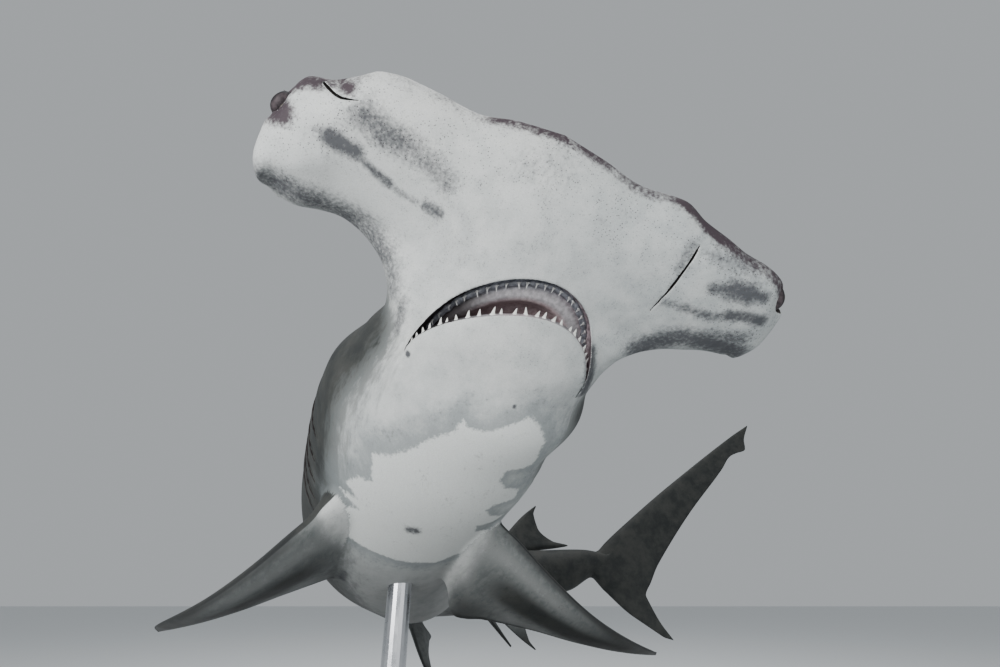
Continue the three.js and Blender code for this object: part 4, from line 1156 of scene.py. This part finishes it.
def gum(name, front, height, setback, radius, seed):
    """A lumpy ridge that follows the arch of a jaw."""
    rng = random.Random(seed)
    waves = [(rng.uniform(20, 60), rng.uniform(0, 6), rng.uniform(0.3, 1)) for _ in range(5)]
    rows = []
    for turn in np.linspace(GUM["start"], GUM["end"], GUM["rows"]):
        a, b, _, inward = arch_root(turn, front, setback)
        lumps = 1 + GUM["lumps"] * sum(size * math.sin(rate * turn + phase) for rate, phase, size in waves)
        taper = math.sqrt(max(0.05, 1 - (abs(turn) / GUM["thinning"]) ** 8))
        base = height(a, b) + GUM["rise"]
        ring = []
        for spin in np.arange(GUM["around"]) / GUM["around"] * 2 * math.pi:
            out = radius * lumps * taper * math.cos(spin)
            up = radius * lumps * taper * GUM["flatness"] * math.sin(spin)
            ring.append((a + inward[0] * out, b + inward[1] * out, base + up))
        rows.append(ring)
    return loft(name, bend(np.array(rows)))


def tooth(root, tip, across, width, lean):
    """Rings of a slender tooth with a broad base, curved by a lean."""
    rings = []
    up = tip - root
    through = np.cross(up, across)
    through *= 1 / np.linalg.norm(through)
    for h in np.linspace(0, 0.97, 9):
        half = 0.5 * width * (0.50 * math.exp(-(h / 0.16) ** 2) + 0.50 * (1 - h) ** 0.8)
        centre = root + up * h + lean * h * h
        rings.append([centre + across * half * math.cos(spin) + through * 0.45 * half * math.sin(spin)
                      for spin in np.arange(10) / 10 * 2 * math.pi])
    return np.array(rings)


def joined_lofts(name, grids):
    """One mesh of several closed lofts."""
    points, polygons = [], []
    for grid in grids:
        start = sum(len(p) for p in points)
        points.append(with_centres(grid))
        polygons += [[start + int(i) for i in polygon] for polygon in loft_polygons(*grid.shape[:2])]
    piece = new_object(name, np.vstack(points), polygons)
    face_outward(piece)
    return piece


TOOTH = dict(height=0.0064, width=0.0042)


def tooth_row(start, end, count, front, setback, height, lean_back, direction, size, seed):
    """Teeth along an arch, each a little different."""
    rng = random.Random(seed)
    grids = []
    for turn in np.linspace(start, end, count):
        turn += rng.uniform(-0.018, 0.018)
        a, b, along, inward = arch_root(turn, front, setback)
        tall = size * TOOTH["height"] * rng.uniform(0.78, 1.15) * (1 - 0.30 * abs(turn / 1.4) ** 2)
        skew = rng.uniform(-0.15, 0.15)
        base = height(a, b)
        root = np.array((a, b, base))
        tip = root + tall * np.array((inward[0] * lean_back + along[0] * skew,
                                      inward[1] * lean_back + along[1] * skew, direction))
        posed_root, posed_tip = bend(root), bend(tip)
        across = bend(root + 0.001 * np.array((along[0], along[1], 0))) - posed_root
        across /= np.linalg.norm(across)
        curve = (bend(root + 0.001 * np.array((inward[0], inward[1], 0))) - posed_root)
        curve *= 0.25 * tall * LENGTH / np.linalg.norm(curve)
        width = size * TOOTH["width"] * LENGTH * rng.uniform(0.85, 1.1)
        grids.append(tooth(posed_root, posed_tip, across, width, curve))
    return grids


LOWER_RIM_DEPTH, UPPER_RIM_DEPTH = 0.0022, 0.0044


def lower_rim(a, b):
    return float(under(np.array(a), np.array(b))) + LOWER_RIM_DEPTH


def upper_rim(a, b):
    return float(under_closed(np.array(lip_arch(LIP["front"], b)), np.array(b))) + UPPER_RIM_DEPTH


LOWER_JAW = dict(front=JAW["front"], height=lower_rim)
UPPER_JAW = dict(front=LIP["front"], height=upper_rim)
LOWER_TEETH = (
    dict(start=-1.26, end=ARCH_END, count=25, setback=0.0008, lean_back=-0.60, direction=0.80, size=1.0,
         seed=11),
    dict(start=0.10, end=1.20, count=9, setback=0.0024, lean_back=-0.45, direction=0.85, size=0.9, seed=12),
)
UPPER_TEETH = (
    dict(start=-1.15, end=ARCH_END, count=24, setback=0.0030, lean_back=0.30, direction=-0.9, size=0.60,
         seed=13),
)


def teeth(name, jaw, rows):
    return joined_lofts(name, [tooth_grid for row in rows for tooth_grid in tooth_row(**jaw, **row)])


def gum_material(name, dark, pale):
    return grained(name, dark, pale, 150.0, 4.0, (0.35, 0.5), 0.3, 0.0008,
                   Coat_Weight=0.3, Coat_Roughness=0.25)


def tooth_material(name, dark, pale):
    return grained(name, dark, pale, 260.0, 3.0, (0.2, 0.3), 0.1, 0.0004,
                   Coat_Weight=0.5, Coat_Roughness=0.15)


def eye_axes(side):
    """The middle of an eye and the direction that it looks in, with two directions across it."""
    centre = bend(eye_place(side))
    station = np.array(EYE["left"][0])
    outward = (side * along_spine(spine_left, station) * GAZE["aside"]
               + GAZE["back"] * along_spine(spine_back, station))
    outward /= np.linalg.norm(outward)
    upward = along_spine(spine_up, station)
    upward = upward - outward * (upward @ outward)
    upward /= np.linalg.norm(upward)
    return centre, outward, upward, np.cross(upward, outward)


def eyeball(name, side):
    """A ball with a shallow pupil and iris, marked by the angle from the way that it looks."""
    centre, outward, upward, aside = eye_axes(side)
    radius = EYE["radius"] * LENGTH
    polar = np.linspace(0.02, math.pi - 0.02, 60)[:, None]
    spin = (np.arange(96) / 96 * 2 * math.pi)[None, :]
    direction = (np.cos(polar)[..., None] * outward + (np.sin(polar) * np.cos(spin))[..., None] * upward
                 + (np.sin(polar) * np.sin(spin))[..., None] * aside)
    bulge = 1 + 0.05 * np.exp(-(polar / 0.55) ** 2)
    grid = centre + radius * bulge[..., None] * direction
    look = np.broadcast_to(polar, grid.shape[:2])
    upright = np.sin(polar) * np.cos(spin) + 0 * look
    piece = loft(name, grid, dict(look=look, spin=np.broadcast_to(spin, look.shape), upright=upright))
    piece.data.shade_smooth()
    return piece


def eye_material():
    """A tan iris round a dark, slightly upright pupil, with a dark rim where the lids close on it."""
    s = Shader("eye", Coat_Weight=1.0, Coat_Roughness=0.03)
    place = s.node("TexCoord", output="Object")
    look = s.mark("look")
    flecks = s.noise(place, 420.0, 4.0)
    iris = s.mix(s.between(flecks, 0.3, 0.7), (0.30, 0.19, 0.08), (0.50, 0.37, 0.20))
    narrowed = s.math("MULTIPLY_ADD", s.math("ABSOLUTE", s.mark("upright")), -0.12, look)
    colour = s.mix(s.between(narrowed, 0.34, 0.38), (0.006, 0.006, 0.007), iris)
    colour = s.mix(s.between(look, 0.85, 1.05), colour, (0.05, 0.035, 0.02))
    return s.finish(colour, s.between(flecks, 0.3, 0.7, 0.15, 0.25))


# Section of the eyelids: how far each ring lies from the middle of the opening and how high over the ball
LID_OPENING = 0.88
LID_SECTION = ((0.06, 0.990), (0.01, 1.012), (-0.02, 1.045), (0.00, 1.080), (0.10, 1.105), (0.25, 1.120),
               (0.45, 1.120), (0.65, 1.100), (0.85, 1.050), (1.10, 0.950))


def eyelid(name, side):
    """A rounded rim of skin over the ball, which leaves an opening that is a little wider than high."""
    centre, outward, upward, aside = eye_axes(side)
    spin = np.arange(72) / 72 * 2 * math.pi
    opening = LID_OPENING * (1 - 0.20 * np.cos(spin) ** 2)
    rows = []
    for past, height in LID_SECTION:
        polar = opening + past
        direction = (np.cos(polar)[:, None] * outward + (np.sin(polar) * np.cos(spin))[:, None] * upward
                     + (np.sin(polar) * np.sin(spin))[:, None] * aside)
        rows.append(centre + EYE["radius"] * LENGTH * height * direction)
    past = np.array([row[0] for row in LID_SECTION])[:, None] + 0 * spin
    piece = loft(name, np.array(rows), dict(past=past, upright=np.cos(spin) + 0 * past))
    piece.data.shade_smooth()
    return piece


def eyelid_material():
    s = Shader("eyelid", Specular_IOR_Level=0.16)
    place = s.node("TexCoord", output="Object")
    grain = s.noise(place, 170.0, 4.0)
    pale = s.mix(s.between(grain, 0.3, 0.7), (0.028, 0.022, 0.025), (0.070, 0.056, 0.060))
    dark = s.mix(s.between(grain, 0.3, 0.7), (0.022, 0.024, 0.026), (0.055, 0.052, 0.055))
    colour = s.mix(s.between(s.mark("upright"), -0.65, -0.10), pale, dark)
    # Painted shade: the lid goes near black at its inner edge, where it closes over the ball.
    colour = s.mix(s.between(s.mark("past"), 0.10, 0.42), (0.010, 0.009, 0.011), colour)
    return s.finish(colour, s.between(grain, 0.3, 0.7, 0.45, 0.6), s.bump(grain, 0.25, 0.0008))


# Studio
def area_light(name, place, aim, size, power):
    light = bpy.data.lights.new(name, "AREA")
    light.shape, light.size, light.energy = "DISK", size, power
    piece = bpy.data.objects.new(name, light)
    piece.location = place
    piece.rotation_euler = (Vector(aim) - Vector(place)).to_track_quat("-Z", "Y").to_euler()
    bpy.context.scene.collection.objects.link(piece)


CAMERA = dict(place=(0.182, -1.473, 0.447), pitch=27.0, lens=17.79)
FLOOR_HALF = 12
HEAD_MIDDLE = (0.2, -0.6, 0.95)
# Name, place, what it is aimed at, size in metres and power in watts of each light
LIGHTS = (
    ("key", (-0.9, -2.8, 0.9), HEAD_MIDDLE, 1.6, 75),
    ("fill", (1.6, -2.2, 0.5), HEAD_MIDDLE, 1.5, 8),
    ("top", (0.3, 0.5, 3.6), (0.1, 0.2, 0.6), 3.0, 75),
)
WORLD_COLOUR, WORLD_STRENGTH = (0.74, 0.78, 0.81, 1), 0.55


def studio():
    corners = np.array([(-1, -1, 0), (1, -1, 0), (1, 1, 0), (-1, 1, 0)], float)
    floor = new_object("floor", FLOOR_HALF * corners, [(0, 1, 2, 3)])
    s = Shader("floor_paper")
    grain = s.noise(s.node("TexCoord", output="Object"), 30.0, 3.0)
    floor.data.materials.append(s.finish(s.mix(grain, (0.70, 0.72, 0.73), (0.74, 0.76, 0.77)), 0.8))
    world = bpy.data.worlds.new("studio")
    world.use_nodes = True
    background = world.node_tree.nodes["Background"]
    background.inputs["Color"].default_value = WORLD_COLOUR
    background.inputs["Strength"].default_value = WORLD_STRENGTH
    bpy.context.scene.world = world
    for light in LIGHTS:
        area_light(*light)
    camera = bpy.data.objects.new("camera", bpy.data.cameras.new("camera"))
    camera.data.lens = CAMERA["lens"]
    camera.data.sensor_width = 36
    camera.data.clip_start = 0.02
    camera.location = CAMERA["place"]
    camera.rotation_euler = (math.radians(90 + CAMERA["pitch"]), 0, 0)
    bpy.context.scene.collection.objects.link(camera)
    bpy.context.scene.camera = camera


def settle(piece, slot, *nodes):
    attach(piece, "root")
    if nodes:
        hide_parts(*nodes)


body = shark_skin()
paint(body)
body.data.shade_smooth()
body.data.materials.clear()
body.data.materials.append(skin_material())
FLESH = ("head", "lower_jaw", "neck", "chest", "belly", "tail_base", "tail_stock", "pectoral_fin_right",
         "pectoral_fin_left", "dorsal_fin_first", "dorsal_fin_second", "anal_fin", "pelvic_fin_right",
         "pelvic_fin_left", "tail_fin_upper", "tail_fin_lower")
settle(body, "skin_pale", *FLESH)
eye_look, lid_look = eye_material(), eyelid_material()
for side, name in ((1, "eye_left"), (-1, "eye_right")):
    eye = eyeball("eyeball" + name[3:], side)
    eye.data.materials.append(eye_look)
    settle(eye, "eye", name)
    lid = eyelid("eyelid" + name[3:], side)
    lid.data.materials.append(lid_look)
    settle(lid, "skin_dark")
lower_gum = gum("gum_lower", setback=0.0034, radius=0.0019, seed=21, **LOWER_JAW)
upper_gum = gum("gum_upper", setback=0.0036, radius=0.0018, seed=22, **UPPER_JAW)
lower_teeth = teeth("teeth_lower", LOWER_JAW, LOWER_TEETH)
upper_teeth = teeth("teeth_upper", UPPER_JAW, UPPER_TEETH)
# Lower and upper colours of the gums and of the teeth: the upper gum is a dark blue-grey and the upper teeth
# a darker grey than the lower ones, painted shade under the upper lip.
GUM_LOOKS_UPPER_SHADED = ((0.24, 0.18, 0.18), (0.40, 0.33, 0.33)), ((0.070, 0.072, 0.085), (0.17, 0.175, 0.20))
TOOTH_LOOKS_UPPER_SHADED = ((0.70, 0.70, 0.66), (0.86, 0.86, 0.82)), ((0.38, 0.38, 0.38), (0.52, 0.52, 0.51))
for pieces, make, looks, slot in (((lower_gum, upper_gum), gum_material, GUM_LOOKS_UPPER_SHADED, "mouth"),
                                  ((lower_teeth, upper_teeth), tooth_material, TOOTH_LOOKS_UPPER_SHADED, "tooth")):
    for piece, look in zip(pieces, looks):
        piece.data.shade_smooth()
        piece.data.materials.append(make(piece.name + "_look", *look))
        settle(piece, slot)
dress_stand()
studio()
